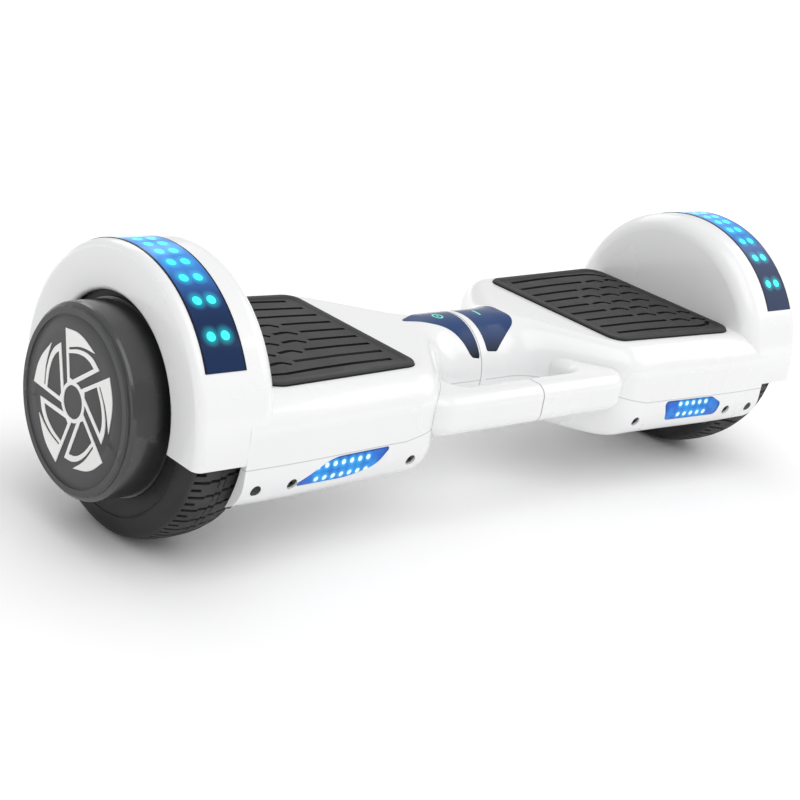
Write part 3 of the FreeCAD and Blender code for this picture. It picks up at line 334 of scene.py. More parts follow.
def new_group(name, inputs, outputs):
    """An empty group with float inputs and outputs: returns it, its graph, entry and exit."""
    group = bpy.data.node_groups.new(name, "ShaderNodeTree")
    for socket, default in inputs.items():
        made = group.interface.new_socket(name=socket, in_out="INPUT", socket_type="NodeSocketFloat")
        made.default_value = default
    for socket in outputs:
        group.interface.new_socket(name=socket, in_out="OUTPUT", socket_type="NodeSocketFloat")
    entry = group.nodes.new("NodeGroupInput")
    leave = group.nodes.new("NodeGroupOutput")
    return group, Graph(group), entry.outputs, leave.inputs


def grain_group():
    """Moulded or cast surface: a fine height, and a slow drift of tone."""
    group, g, entry, leave = new_group(
        "surface_grain", {"Grain scale": 900.0, "Drift scale": 14.0}, ("Height", "Drift"))
    vector = g.object_axes()[0]
    fine = g.noise(vector, entry["Grain scale"], 3.0, 0.6)
    slow = g.noise(vector, entry["Drift scale"], 4.0, 0.55)
    g.feed(leave["Height"], fine)
    g.feed(leave["Drift"], g.fade(slow, 0.3, 0.7))
    return group


def points_group():
    """Light points in two rows: their cores and the glow around them."""
    group, g, entry, leave = new_group(
        "light_points", {"Along": 0.0, "Pitch": 0.01, "Across": 0.0, "Rows": 0.008, "Radius": 0.002},
        ("Core", "Glow"))
    nearest = g.math("ROUND", entry["Along"])
    along = g.math("MULTIPLY", g.math("SUBTRACT", entry["Along"], nearest), entry["Pitch"])
    half = g.math("MULTIPLY", entry["Rows"], 0.5)
    across = g.math("SUBTRACT", g.math("ABSOLUTE", entry["Across"]), half)
    away = g.math("DIVIDE", g.distance(along, across), entry["Radius"])
    g.feed(leave["Core"], g.fade(away, 0.72, 1.15, 1.0, 0.0))
    g.feed(leave["Glow"], g.fade(away, 0.6, 2.6, 1.0, 0.0))
    return group


def dust_group():
    """Fine dust that settles on faces that look up."""
    group, g, _, leave = new_group("settled_dust", {}, ("Dust",))
    vector = g.object_axes()[0]
    normal = g.add("NewGeometry").outputs["Normal"]
    up = g.add("SeparateXYZ", {0: normal}).outputs[2]
    specks = g.fade(g.noise(vector, 260.0, 5.0, 0.7), 0.5, 0.78)
    g.feed(leave["Dust"], g.math("MULTIPLY", g.fade(up, 0.2, 1.0), specks))
    return group


def place_group(g, name, **inputs):
    """Place a shared group by its name and feed its inputs; returns its outputs."""
    node = g.add("Group", node_tree=groups()[name])
    for key, value in inputs.items():
        g.feed(node.inputs[key.replace("_", " ").capitalize()], value)
    return node.outputs


def material(name, **constants):
    """A new material: returns it, its graph and its shader, with the plain values set."""
    made = bpy.data.materials.new(name)
    made.use_nodes = True
    shader = made.node_tree.nodes["Principled BSDF"]
    for key, value in constants.items():
        shader.inputs[key.replace("_", " ")].default_value = value
    return made, Graph(made.node_tree), shader.inputs


def bump(g, shader, height, distance, strength=0.6):
    inputs = {"Height": height, "Distance": distance, "Strength": strength}
    g.feed(shader["Normal"], g.add("Bump", inputs).outputs[0])


def grained(name, light, dark, rough, grain_scale, depth, dusty=0.0, **constants):
    """A moulded, cast or coated finish between two tones, with its grain and its roughness."""
    made, g, shader = material(name, **constants)
    grain = place_group(g, "grain", grain_scale=grain_scale)
    colour = g.mix(grain["Drift"], dark, light)
    if dusty:
        dust = place_group(g, "dust")["Dust"]
        colour = g.mix(g.math("MULTIPLY", dust, dusty), colour, (0.42, 0.41, 0.39, 1.0))
    g.feed(shader["Base Color"], colour)
    g.feed(shader["Roughness"], g.fade(grain["Drift"], 0.0, 1.0, rough[0], rough[1]))
    bump(g, shader, grain["Height"], depth)
    return made


def paint(finish, *nodes):
    for node in nodes:
        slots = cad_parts[node].material_slots
        if not slots:
            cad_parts[node].data.materials.append(finish)
        for slot in slots:
            slot.material = finish


def both(name):
    return ["%s_%s" % (side, name) for side in SIDES]


GROUPS = {}
BLACK = (0.0, 0.0, 0.0, 1.0)


def groups():
    """The shared node groups, built at first use."""
    if not GROUPS:
        GROUPS.update(grain=grain_group(), points=points_group(), dust=dust_group())
    return GROUPS


# ---- shells ----------------------------------------------------------
# Between these distances from the middle, the joint climbs or falls from the twist axis's height
# to its height along the decks.
JOINT_BEND = (70 * MM, 112 * MM)


def shell_finish(name, settings, with_joint):
    """Glossy white plastic; on the shells a fine line shows where upper and lower meet."""
    made, g, shader = material(name, Coat_Weight=0.5, Coat_Roughness=0.06, IOR=1.5)
    grain = place_group(g, "grain", grain_scale=420.0, drift_scale=9.0)
    white = settings.colour[:]
    shade = [channel * 0.985 for channel in white[:3]] + [1.0]
    colour = g.mix(grain["Drift"], shade, white)
    if with_joint:
        _, x, _, z = g.object_axes()
        climb = g.add("MapRange", {0: g.math("ABSOLUTE", x), 1: JOINT_BEND[0], 2: JOINT_BEND[1],
                                   3: TWIST_Z, 4: SPLIT_Z}).outputs[0]
        off = g.math("ABSOLUTE", g.math("SUBTRACT", z, climb))
        width = settings.joint_width
        line = g.fade(off, width * 0.35, width, 1.0, 0.0)
        colour = g.mix(g.math("MULTIPLY", line, 0.55), colour, (0.3, 0.31, 0.33, 1.0))
    g.feed(shader["Base Color"], colour)
    g.feed(shader["Roughness"], g.fade(grain["Drift"], 0.0, 1.0, 0.24, 0.28))
    return made


class BOARD_OT_shells(bpy.types.Operator):
    """Give the shells, the carry handle and the seam ring their white plastic"""
    bl_idname = "board.shells"
    bl_label = "Shells"

    def execute(self, context):
        settings = context.scene.board_shell
        joint = shell_finish("shell_white_with_joint", settings, True)
        plain = shell_finish("shell_white_plain", settings, False)
        paint(joint, *both("upper_shell"), *both("lower_shell"))
        paint(plain, *both("handle"), "seam_ring")
        return {"FINISHED"}


# ---- lights and dark covers ------------------------------------------
# The marks on the centre covers: a ring round a dot on the left, and a bar on the right.
RING_MARK_X = -19 * MM
RING_MARK_RADIUS = 3.4 * MM
BAR_MARK_X = 17 * MM
BAR_MARK_HALF = 4.0 * MM
# Rows of fender points that shine on each side of the top one.
LIT_ROWS = 5


def fender_cover_finish(settings):
    """Smoked cover: blue where it is lit from behind, near black at its ends, points shining."""
    made, g, shader = material(
        "fender_cover_smoked", Coat_Weight=0.04, Coat_Roughness=0.05, Specular_IOR_Level=0.12,
        Emission_Strength=1.6)
    vector, x, y, z = g.object_axes()
    turn = g.math("ABSOLUTE", g.math("ARCTAN2", y, g.math("SUBTRACT", z, AXLE_Z)))
    rows, thin = settings.rows_per_radian, settings.rows_thin_out
    place = g.math("MULTIPLY", turn, g.math("SUBTRACT", rows, g.math("MULTIPLY", turn, thin)))
    pitch = g.math("DIVIDE", STRIP_RADIUS,
                   g.math("SUBTRACT", rows, g.math("MULTIPLY", turn, 2 * thin)))
    mid_x = (STRIP_LOW.x + STRIP_HIGH.x) / 2
    across = g.math("SUBTRACT", g.math("ABSOLUTE", x), mid_x)
    points = place_group(g, "points", along=place, pitch=pitch, across=across,
                         rows=settings.column_pitch, radius=settings.point_radius)
    lit = g.fade(place, LIT_ROWS + 0.4, LIT_ROWS + 0.5, 1.0, 0.0)
    core = g.math("MULTIPLY", points["Core"], lit)
    glow = g.math("MULTIPLY", points["Glow"], lit)
    cloud = g.noise(vector, 45.0, 3.0, 0.6)
    top = g.fade(turn, math.radians(4), math.radians(38), 1.0, 0.0)
    body = g.mix(g.fade(turn, math.radians(14), math.radians(44)), (0.030, 0.085, 0.32, 1.0),
                 (0.010, 0.026, 0.080, 1.0))
    body = g.mix(g.math("MULTIPLY", cloud, top), body, (0.04, 0.24, 0.62, 1.0))
    half = (STRIP_HIGH.x - STRIP_LOW.x) / 2
    edge = g.fade(g.math("ABSOLUTE", across), half - 1.6 * MM, half - 0.5 * MM)
    body = g.mix(edge, body, (0.008, 0.010, 0.022, 1.0))
    colour = g.mix(core, body, settings.point_colour[:])
    g.feed(shader["Base Color"], colour)
    backlight = g.math("MULTIPLY", g.math("MULTIPLY", top, 0.5), g.math("SUBTRACT", 1.0, edge))
    spread = g.mix(g.math("MULTIPLY", glow, 0.22), BLACK, settings.point_colour[:])
    spread = g.mix(g.math("MULTIPLY", backlight, cloud), spread, (0.05, 0.35, 0.85, 1.0))
    g.feed(shader["Emission Color"], g.mix(core, spread, settings.point_colour[:]))
    g.feed(shader["Roughness"], g.fade(cloud, 0.3, 0.7, 0.10, 0.18))
    return made


def centre_cover_finish():
    """Glossy cover with a small mark; its colour runs from blue on top to black at the sides, a painted
    reflection.
    """
    made, g, shader = material("centre_cover_gloss", Coat_Weight=0.04, Coat_Roughness=0.05,
                               Specular_IOR_Level=0.12, Emission_Strength=0.45)
    vector, x, y, z = g.object_axes()
    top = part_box("left_centre_cover")[1].z
    # Painted reflection: the cover is coloured blue near its top, fading to near black lower down.
    painted_reflection = g.fade(z, top - 20 * MM, top - 1 * MM)
    drift = g.noise(vector, 60.0, 2.0)
    colour = g.mix(painted_reflection, (0.004, 0.007, 0.018, 1.0), (0.026, 0.062, 0.18, 1.0))
    colour = g.mix(g.math("MULTIPLY", drift, 0.25), colour, (0.02, 0.03, 0.06, 1.0))
    away = g.distance(g.math("SUBTRACT", x, RING_MARK_X), y)
    off_ring = g.math("ABSOLUTE", g.math("SUBTRACT", away, RING_MARK_RADIUS))
    ring = g.fade(off_ring, 0.4 * MM, 0.8 * MM, 1.0, 0.0)
    dot = g.fade(away, 0.8 * MM, 1.3 * MM, 1.0, 0.0)
    off_bar = g.math("ABSOLUTE", g.math("SUBTRACT", x, BAR_MARK_X))
    bar_x = g.fade(off_bar, 0.6 * MM, 1.0 * MM, 1.0, 0.0)
    bar_y = g.fade(g.math("ABSOLUTE", y), BAR_MARK_HALF, BAR_MARK_HALF + 0.4 * MM, 1.0, 0.0)
    mark = g.math("MAXIMUM", g.math("MAXIMUM", ring, dot), g.math("MULTIPLY", bar_x, bar_y))
    teal = (0.10, 0.62, 0.46, 1.0)
    g.feed(shader["Base Color"], g.mix(mark, colour, teal))
    g.feed(shader["Emission Color"], g.mix(mark, BLACK, teal))
    g.feed(shader["Roughness"], g.fade(drift, 0.3, 0.7, 0.08, 0.16))
    return made


def lens_finish(side, settings):
    """Blue lens, lit from behind: bright over its lamp, dark along its edges."""
    made, g, shader = material("front_lens_" + side, Coat_Weight=0.1, Coat_Roughness=0.03,
                               Specular_IOR_Level=0.25, Emission_Strength=0.2)
    vector, x, _, z = g.object_axes()
    low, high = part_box(side + "_front_lens")
    board_low, board_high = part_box(side + "_front_lamp")
    board = (board_low + board_high) / 2
    along = g.math("DIVIDE", g.math("SUBTRACT", x, board.x), settings.lamp_pitch)
    count = round((board_high.x - board_low.x) / settings.lamp_pitch)
    if count % 2 == 0:
        along = g.math("ADD", along, 0.5)
    across = g.math("SUBTRACT", z, board.z)
    points = place_group(g, "points", along=along, pitch=settings.lamp_pitch,
                         across=across, rows=settings.lamp_rows, radius=settings.lamp_point)
    reach = g.math("ABSOLUTE", g.math("SUBTRACT", x, board.x))
    lit = g.fade(reach, (count * 0.5 - 0.1) * settings.lamp_pitch,
                 (count * 0.5) * settings.lamp_pitch, 1.0, 0.0)
    core = g.math("MULTIPLY", points["Core"], lit)
    glow = g.math("MULTIPLY", points["Glow"], lit)
    facets = g.add("TexVoronoi", {"Vector": vector, "Scale": 260.0}, distance="EUCLIDEAN").outputs[0]
    cloud = g.noise(vector, 70.0, 3.0, 0.6)
    blue = settings.lens_colour[:]
    colour = g.mix(g.math("MULTIPLY", facets, 0.6), blue, (0.008, 0.13, 0.56, 1.0))
    colour = g.mix(g.math("MULTIPLY", g.fade(cloud, 0.45, 0.72), 0.5), colour, (0.02, 0.34, 0.80, 1.0))
    ends = g.fade(g.math("ABSOLUTE", g.math("SUBTRACT", x, (low.x + high.x) / 2)),
                  (high.x - low.x) * 0.40, (high.x - low.x) * 0.5)
    upper = g.fade(z, high.z - 1.6 * MM, high.z - 0.5 * MM)
    dark = g.math("MAXIMUM", g.math("MULTIPLY", ends, 0.75), g.math("MULTIPLY", upper, 0.7))
    colour = g.mix(dark, colour, (0.006, 0.035, 0.20, 1.0))
    colour = g.mix(g.math("MULTIPLY", glow, 0.45), colour, (0.03, 0.62, 0.95, 1.0))
    colour = g.mix(core, colour, (0.72, 0.98, 1.0, 1.0))
    g.feed(shader["Base Color"], colour)
    g.feed(shader["Emission Color"], colour)
    g.feed(shader["Roughness"], g.fade(cloud, 0.3, 0.7, 0.06, 0.14))
    bump(g, shader, facets, 0.25 * MM, 0.3)
    return made


def strip_finish(settings):
    """Flexible light board: dark mask with lit domes where the points stand."""
    made, g, shader = material("fender_light_board", Emission_Strength=2.0)
    dome = g.fade(g.axle_distance(), STRIP_RADIUS - 2.2 * MM, STRIP_RADIUS - 1.9 * MM)
    g.feed(shader["Base Color"], g.mix(dome, (0.02, 0.05, 0.04, 1.0), (0.7, 0.95, 1.0, 1.0)))
    g.feed(shader["Emission Color"], g.mix(dome, BLACK, settings.point_colour[:]))
    return made


def lamp_finish():
    """Front lamp board with white light points in front of it."""
    made, g, shader = material("front_lamp_board", Emission_Strength=2.0)
    y = g.object_axes()[2]
    front, back = (corner.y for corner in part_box("left_front_lamp"))
    point = g.fade(y, front + 1.9 * MM, back - 1.4 * MM, 1.0, 0.0)
    g.feed(shader["Base Color"], g.mix(point, (0.02, 0.05, 0.10, 1.0), (0.9, 0.95, 1.0, 1.0)))
    g.feed(shader["Emission Color"], g.mix(point, BLACK, (0.6, 0.9, 1.0, 1.0)))
    return made


class BOARD_OT_lights(bpy.types.Operator):
    """Give the fender covers, centre covers, front lenses and lamps their finishes"""
    bl_idname = "board.lights"
    bl_label = "Lights and covers"

    def execute(self, context):
        settings = context.scene.board_lights
        paint(fender_cover_finish(settings), *both("fender_light_cover"))
        paint(centre_cover_finish(), *both("centre_cover"))
        paint(strip_finish(settings), *both("fender_light_strip"))
        paint(lamp_finish(), *both("front_lamp"))
        for side in SIDES:
            paint(lens_finish(side, settings), side + "_front_lens")
        return {"FINISHED"}


# ---- tyres -----------------------------------------------------------
STEPS_PER_PITCH = 10
# Each column of the tread: where it ends, as a distance from the tyre's outer side, and which
# steps of a pitch are groove.
TREAD_START = 4.0 * MM
TREAD_COLUMNS = (
    (10.0 * MM, (0, 1, 5, 6)),
    (14.0 * MM, (0, 1)),
    (19.5 * MM, (1, 2)),
    (20.1 * MM, (0, 1, 2, 3, 4, 7, 8, 9)),
    (23.4 * MM, (2, 3)),
    (24.0 * MM, (0, 1, 2, 3, 4, 7, 8, 9)),
    (29.0 * MM, (4, 5)),
    (33.0 * MM, (5, 6)),
    (39.0 * MM, (0, 1, 5, 6)),
)
# The sidewall from the tread's edge to the bead: distance from the tyre's side, and radius
# below the tread's middle.
SIDEWALL = ((2.2, 4.4), (0.9, 7.4), (0.25, 11.0), (0.0, 14.5), (0.5, 14.9), (0.5, 15.6), (0.0, 16.0),
            (0.4, 21.0), (1.2, 25.9))


def crown(settings, from_side):
    """Radius of the tread at a distance from the tyre's side."""
    half = (TYRE_HIGH.x - TYRE_LOW.x) / 2
    share = (from_side - half) / (half - TREAD_START)
    return TYRE_RADIUS - settings.crown_drop * abs(share) ** 2.6


def is_groove(face, steps):
    """Whether a face of the tread lies in a groove of its column."""
    centre = face.calc_center_median()
    across = TYRE_HIGH.x - centre.x
    if across < TREAD_START or math.hypot(centre.y, centre.z - AXLE_Z) < TYRE_RADIUS - 5 * MM:
        return False
    turn = math.atan2(centre.y, centre.z - AXLE_Z) % math.tau
    step = int(turn / math.tau * steps) % STEPS_PER_PITCH
    for end, grooves in TREAD_COLUMNS:
        if across < end:
            return step in grooves
    return False


def ring_at(piece, x, radius):
    """Bring the ring of vertices at x to a radius."""
    pick(piece, "VERT", lambda v: abs(v.co.x - x) < 0.01 * MM)
    vertex = next(v for v in bmesh.from_edit_mesh(piece.data).verts if v.select)
    scale = radius / math.hypot(vertex.co.y, vertex.co.z - AXLE_Z)
    bpy.ops.transform.resize(value=(1, scale, scale), center_override=(x, 0, AXLE_Z))


def sidewall(outward, start_x, settings):
    """Extrude the tread's open edge down the side of the tyre to the bead."""
    side_x = TYRE_HIGH.x if outward > 0 else TYRE_LOW.x
    x = start_x
    radius = crown(settings, TREAD_START)
    for inset, drop in SIDEWALL:
        next_x = side_x - outward * inset * MM
        next_radius = TYRE_RADIUS - drop * MM
        bpy.ops.mesh.extrude_edges_move(TRANSFORM_OT_translate={"value": (next_x - x, 0, 0)})
        scale = next_radius / radius
        bpy.ops.transform.resize(value=(1, scale, scale), center_override=(next_x, 0, AXLE_Z))
        x, radius = next_x, next_radius


def open_edge(piece, x):
    pick(piece, "EDGE", lambda e: e.is_boundary and all(abs(v.co.x - x) < 0.01 * MM for v in e.verts))


def make_tyre(settings):
    """Right tyre: a ring with a crowned tread, smooth sidewalls and cut grooves."""
    steps = settings.pitches * STEPS_PER_PITCH
    width = TYRE_HIGH.x - TYRE_LOW.x
    mid_x = (TYRE_HIGH.x + TYRE_LOW.x) / 2
    bpy.ops.mesh.primitive_cylinder_add(
        vertices=steps, radius=TYRE_RADIUS, depth=width - 2 * TREAD_START, end_fill_type="NOTHING",
        location=(mid_x, 0, AXLE_Z), rotation=(0, math.pi / 2, 0))
    tyre = new_piece("right_tyre_tread")
    edit(tyre)
    for end, _ in TREAD_COLUMNS[:-1]:
        select_mesh()
        bpy.ops.mesh.bisect(plane_co=(TYRE_HIGH.x - end, 0, 0), plane_no=(1, 0, 0))
    select_by("VERT")
    for end in (TREAD_START, *(end for end, _ in TREAD_COLUMNS)):
        ring_at(tyre, TYRE_HIGH.x - end, crown(settings, end))
    select_by("EDGE")
    for outward, start in ((1, TYRE_HIGH.x - TREAD_START), (-1, TYRE_LOW.x + TREAD_START)):
        open_edge(tyre, start)
        sidewall(outward, start, settings)
    pick(tyre, "EDGE", lambda e: e.is_boundary)
    bpy.ops.mesh.bridge_edge_loops()
    select_mesh()
    bpy.ops.mesh.normals_make_consistent(inside=False)
    select_by("FACE")
    pick(tyre, "FACE", lambda face: is_groove(face, steps))
    bpy.ops.mesh.extrude_region_shrink_fatten(TRANSFORM_OT_shrink_fatten={"value": -settings.depth})
    done()
    smooth(tyre, 32.0)
    return tyre


def tyre_finish():
    """Rubber: dark in the grooves with painted shade, greyer and rougher on the block tops."""
    made, g, shader = material("tyre_rubber", Specular_IOR_Level=0.35)
    grain = place_group(g, "grain", grain_scale=1400.0, drift_scale=30.0)
    dust = place_group(g, "dust")["Dust"]
    # Painted shade: below the tread's outer face, in the grooves and on the sidewalls, the rubber is
    # painted near black; the block tops keep a lighter grey.
    top = g.fade(g.axle_distance(), TYRE_RADIUS - 4.6 * MM, TYRE_RADIUS - 1.6 * MM)
    dark = g.mix(grain["Drift"], (0.010, 0.010, 0.011, 1.0), (0.018, 0.018, 0.019, 1.0))
    tread_top_grey = g.mix(grain["Drift"], (0.030, 0.030, 0.031, 1.0), (0.050, 0.050, 0.051, 1.0))
    colour = g.mix(top, dark, tread_top_grey)
    colour = g.mix(g.math("MULTIPLY", dust, 0.08), colour, (0.3, 0.29, 0.27, 1.0))
    g.feed(shader["Base Color"], colour)
    g.feed(shader["Roughness"], g.fade(top, 0.0, 1.0, 0.5, 0.72))
    bump(g, shader, grain["Height"], 0.06 * MM, 0.5)
    return made


class BOARD_OT_tyres(bpy.types.Operator):
    """Model both tyres with their block tread"""
    bl_idname = "board.tyres"
    bl_label = "Tyres"

    def execute(self, context):
        settings = context.scene.board_tyre
        right = make_tyre(settings)
        right.data.materials.append(tyre_finish())
        left = mirrored_copy(right, "left_tyre_tread")
        smooth(left, 32.0)
        seat(right, "right_wheel", "tyre", "right_tyre")
        seat(left, "left_wheel", "tyre", "left_tyre")
        return {"FINISHED"}


# ---- foot mats -------------------------------------------------------
# How far from the wheel end each pair of grooves breaks into short ones, from the middle
# groove outwards; the outermost pair doesn't break.
BREAKS = (74.0 * MM, 70.0 * MM, 56.0 * MM, 36.0 * MM, 0.0)
DASH = 16.5 * MM
DASH_GAP = 4.5 * MM
# A short groove's kink: how long it is and how far it turns to the front.
KINK = (4.5 * MM, 3.6 * MM)
SHORTEST_DASH = 7.2 * MM
# Where the grooves start and end, from the mat's inner end and its wheel end.
GROOVE_START = 8 * MM
GROOVE_END = 6 * MM
# How much later each groove starts than the one nearer the middle, and how far a groove bows.
STAGGER = 0.8 * MM
BOW = 2.2 * MM
# How far the outermost grooves turn in at their wheel end.
HOOK = 8 * MM
RIM_SLOPE = 0.8 * MM
# How far the middle of a groove's rod lies under the grooved field.
GROOVE_SINK = 0.25 * MM
# The top is cut into cells first, in this many parts along x and y, which keeps its faces small.
CELLS = (14, 16)


def groove_paths(settings, low, high, kink_at):
    """Centre lines of the grooves on a right mat; short ones kink at their inner or outer end."""
    start = low.x + GROOVE_START
    end = high.x - GROOVE_END
    length = end - start
    paths = []
    for row in range(-len(BREAKS) + 1, len(BREAKS)):
        inner = row * settings.spacing
        outer = inner * settings.fan

        def at(x):
            share = (x - start) / length
            return Vector((x, inner + (outer - inner) * share + BOW * math.sin(math.pi * share)))

        reach = BREAKS[abs(row)]
        if not reach:
            turn = -math.copysign(HOOK, row)
            paths.append([at(start + 6 * MM), at(start + length * 0.35), at(start + length * 0.6),
                          at(end - 18 * MM), at(end - 8 * MM) + Vector((0, turn * 0.25)),
                          at(end - 1 * MM) + Vector((0, turn))])
            continue
        knee = end - reach
        begin = start + abs(row) * STAGGER
        paths.append([at(begin), at((begin + knee) / 2), at(knee)])
        x = knee + DASH_GAP
        while x < end - 3 * MM:
            stop = min(x + DASH, end)
            if stop - x > SHORTEST_DASH:
                ends = (stop, x) if kink_at == "outer" else (x, stop)
                knee = ends[0] + math.copysign(KINK[0], ends[1] - ends[0])
                paths.append([at(ends[1]) + Vector((0, -0.6 * MM)),
                              at((x + stop) / 2) + Vector((0, 0.8 * MM)),
                              at(knee) + Vector((0, 0.4 * MM)), at(ends[0]) + Vector((0, -KINK[1]))])
            x = stop + DASH_GAP
    return paths


def groove_cutter(paths, radius, z):
    """One mesh of round rods that lie along the paths."""
    curve = bpy.data.curves.new("mat_groove_cutter", "CURVE")
    curve.dimensions = "3D"
    curve.bevel_depth = radius
    curve.bevel_resolution = 2
    curve.use_fill_caps = True
    for path in paths:
        spline = curve.splines.new("POLY")
        spline.points.add(len(path) - 1)
        for point, place in zip(spline.points, path):
            point.co = (place.x, place.y, z, 1.0)
    return from_curve(curve)


def make_mat(settings, name, kink_at):
    """A right foot mat: a raised rim around a field of cut grooves."""
    low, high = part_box("right_foot_mat")
    mat = copy_of_node("right_foot_mat", name)
    half_area = (high.x - low.x) * (high.y - low.y) / 2
    edit(mat)
    pick(mat, "FACE", lambda f: f.normal.z > 0.99 and f.calc_area() > half_area)
    bpy.ops.mesh.inset(thickness=settings.rim, depth=0.0)
    bpy.ops.mesh.inset(thickness=RIM_SLOPE, depth=-settings.rim_height)
    for axis, count in enumerate(CELLS):
        across = Vector((axis == 0, axis == 1, 0))
        for i in range(1, count):
            select_mesh()
            bpy.ops.mesh.bisect(plane_co=low.lerp(high, i / count), plane_no=across)
    done()
    field = high.z - settings.rim_height
    paths = groove_paths(settings, low, high, kink_at)
    cutter = groove_cutter(paths, settings.groove, field - GROOVE_SINK)
    cut = mat.modifiers.new("grooves", "BOOLEAN")
    cut.operation = "DIFFERENCE"
    cut.solver = "MANIFOLD"
    cut.object = cutter
    only(mat)
    bpy.ops.object.modifier_apply(modifier="grooves")
    bpy.data.objects.remove(cutter)
    mat.data.materials.clear()
    smooth(mat, 28.0)
    return mat


def mat_finish(settings):
    """Moulded rubber with a fine grain; its grooves are painted near black as shade."""
    made, g, shader = material("mat_rubber_grained", Specular_IOR_Level=0.3)
    z = g.object_axes()[3]
    grain = place_group(g, "grain", grain_scale=1100.0, drift_scale=22.0)
    dust = place_group(g, "dust")["Dust"]
    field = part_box("right_foot_mat")[1].z - settings.rim_height
    # Painted shade: everything below the grooved field is painted near black, so the groove walls read as
    # shaded.
    above = g.fade(z, field - 0.4 * MM, field - 0.05 * MM)
    colour = g.mix(grain["Drift"], (0.022, 0.022, 0.023, 1.0), (0.032, 0.032, 0.033, 1.0))
    colour = g.mix(g.math("MULTIPLY", dust, 0.04), colour, (0.3, 0.3, 0.3, 1.0))
    g.feed(shader["Base Color"], g.mix(above, (0.003, 0.003, 0.003, 1.0), colour))
    g.feed(shader["Roughness"], g.fade(grain["Drift"], 0.0, 1.0, 0.5, 0.64))
    bump(g, shader, grain["Height"], 0.12 * MM, 0.6)
    return made


class BOARD_OT_mats(bpy.types.Operator):
    """Model both foot mats with their rims and grooves"""
    bl_idname = "board.mats"
    bl_label = "Foot mats"

    def execute(self, context):
        settings = context.scene.board_mat
        finish = mat_finish(settings)
        right = make_mat(settings, "right_mat_grooved", "outer")
        master = make_mat(settings, "mat_to_mirror", "inner")
        left = mirrored_copy(master, "left_mat_grooved")
        bpy.data.objects.remove(master)
        smooth(left, 28.0)
        for mat in (right, left):
            mat.data.materials.append(finish)
        seat(right, "right_mat", "mat_rubber", "right_foot_mat")
        seat(left, "left_mat", "mat_rubber", "left_foot_mat")
        paint(finish, *both("switch_plungers"))
        return {"FINISHED"}


# ---- hub discs -------------------------------------------------------
# Steps on a disc's face from its edge inwards: how wide each is and how far it rises.
DISC_STEPS = ((3.6, 0.0), (0.15, -0.7), (0.7, 0.0), (0.15, 0.2), (9.0, 0.0))
# The swirl's ring.
RING_OUT = 11.8 * MM
RING_IN = 9.6 * MM
# One blade, standing up from the ring: its outline and the window in it, as (x, y, smooth).
BLADE = ((-5.9, 10.1, 0), (-8.9, 41.0, 0), (6.0, 39.6, 1), (21.2, 31.6, 0), (7.5, 32.7, 1),
         (-4.9, 30.6, 0), (-5.1, 29.2, 0), (7.5, 30.9, 1), (18.6, 28.6, 1), (26.0, 22.8, 0),
         (2.4, 11.2, 0))
WINDOW = ((-3.9, 13.4, 0), (-5.3, 27.2, 0), (6.5, 28.4, 1), (15.6, 26.4, 1), (20.6, 22.9, 0),
          (-0.8, 12.6, 0))


def flat_shape(name, outlines, height):
    """A flat plate of that height from closed outlines, the later ones being holes."""
    curve = bpy.data.curves.new(name, "CURVE")
    curve.dimensions = "2D"
    curve.fill_mode = "BOTH"
    curve.extrude = height / 2
    curve.resolution_u = 10
    for outline in outlines:
        spline = curve.splines.new("BEZIER")
        spline.bezier_points.add(len(outline) - 1)
        for point, (x, y, is_smooth) in zip(spline.bezier_points, outline):
            point.co = (x * MM, y * MM, 0)
            kind = "AUTO" if is_smooth else "VECTOR"
            point.handle_left_type = kind
            point.handle_right_type = kind
        spline.use_cyclic_u = True
    return from_curve(curve)


def circle_outline(radius):
    """Eight smooth points, which a curve rounds to a circle."""
    turns = [math.tau * i / 8 for i in range(8)]
    return [(radius / MM * math.cos(t), radius / MM * math.sin(t), 1) for t in turns]


def make_swirl(settings):
    """The raised swirl of the left disc, its blades copied around a ring."""
    blade = flat_shape("swirl_blade", (BLADE, WINDOW), settings.height)
    parts = [flat_shape("left_hub_swirl", (circle_outline(RING_OUT), circle_outline(RING_IN)),
                        settings.height + 0.03 * MM)]
    for i in range(settings.blades):
        copy = bpy.data.objects.new("swirl_blade_%d" % i, blade.data.copy())
        link(copy)
        copy.data.transform(Matrix.Rotation(settings.turn - math.tau * i / settings.blades, 4, "Z"))
        parts.append(copy)
    bpy.data.objects.remove(blade)
    only(parts[0])
    for part in parts[1:]:
        part.select_set(True)
    bpy.ops.object.join()
    return bpy.context.object


def make_disc():
    """Right hub disc: a plain outer band, a thin groove and a sunken middle."""
    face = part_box("right_hub_disc")[1].x
    disc = copy_of_node("right_hub_disc", "right_hub_disc_face")
    edit(disc)
    pick(disc, "FACE", lambda f: f.normal.x > 0.99 and f.calc_center_median().x > face - 0.01 * MM)
    for width, rise in DISC_STEPS:
        bpy.ops.mesh.inset(thickness=width * MM, depth=rise * MM)
    done()
    smooth(disc, 30.0)
    return disc


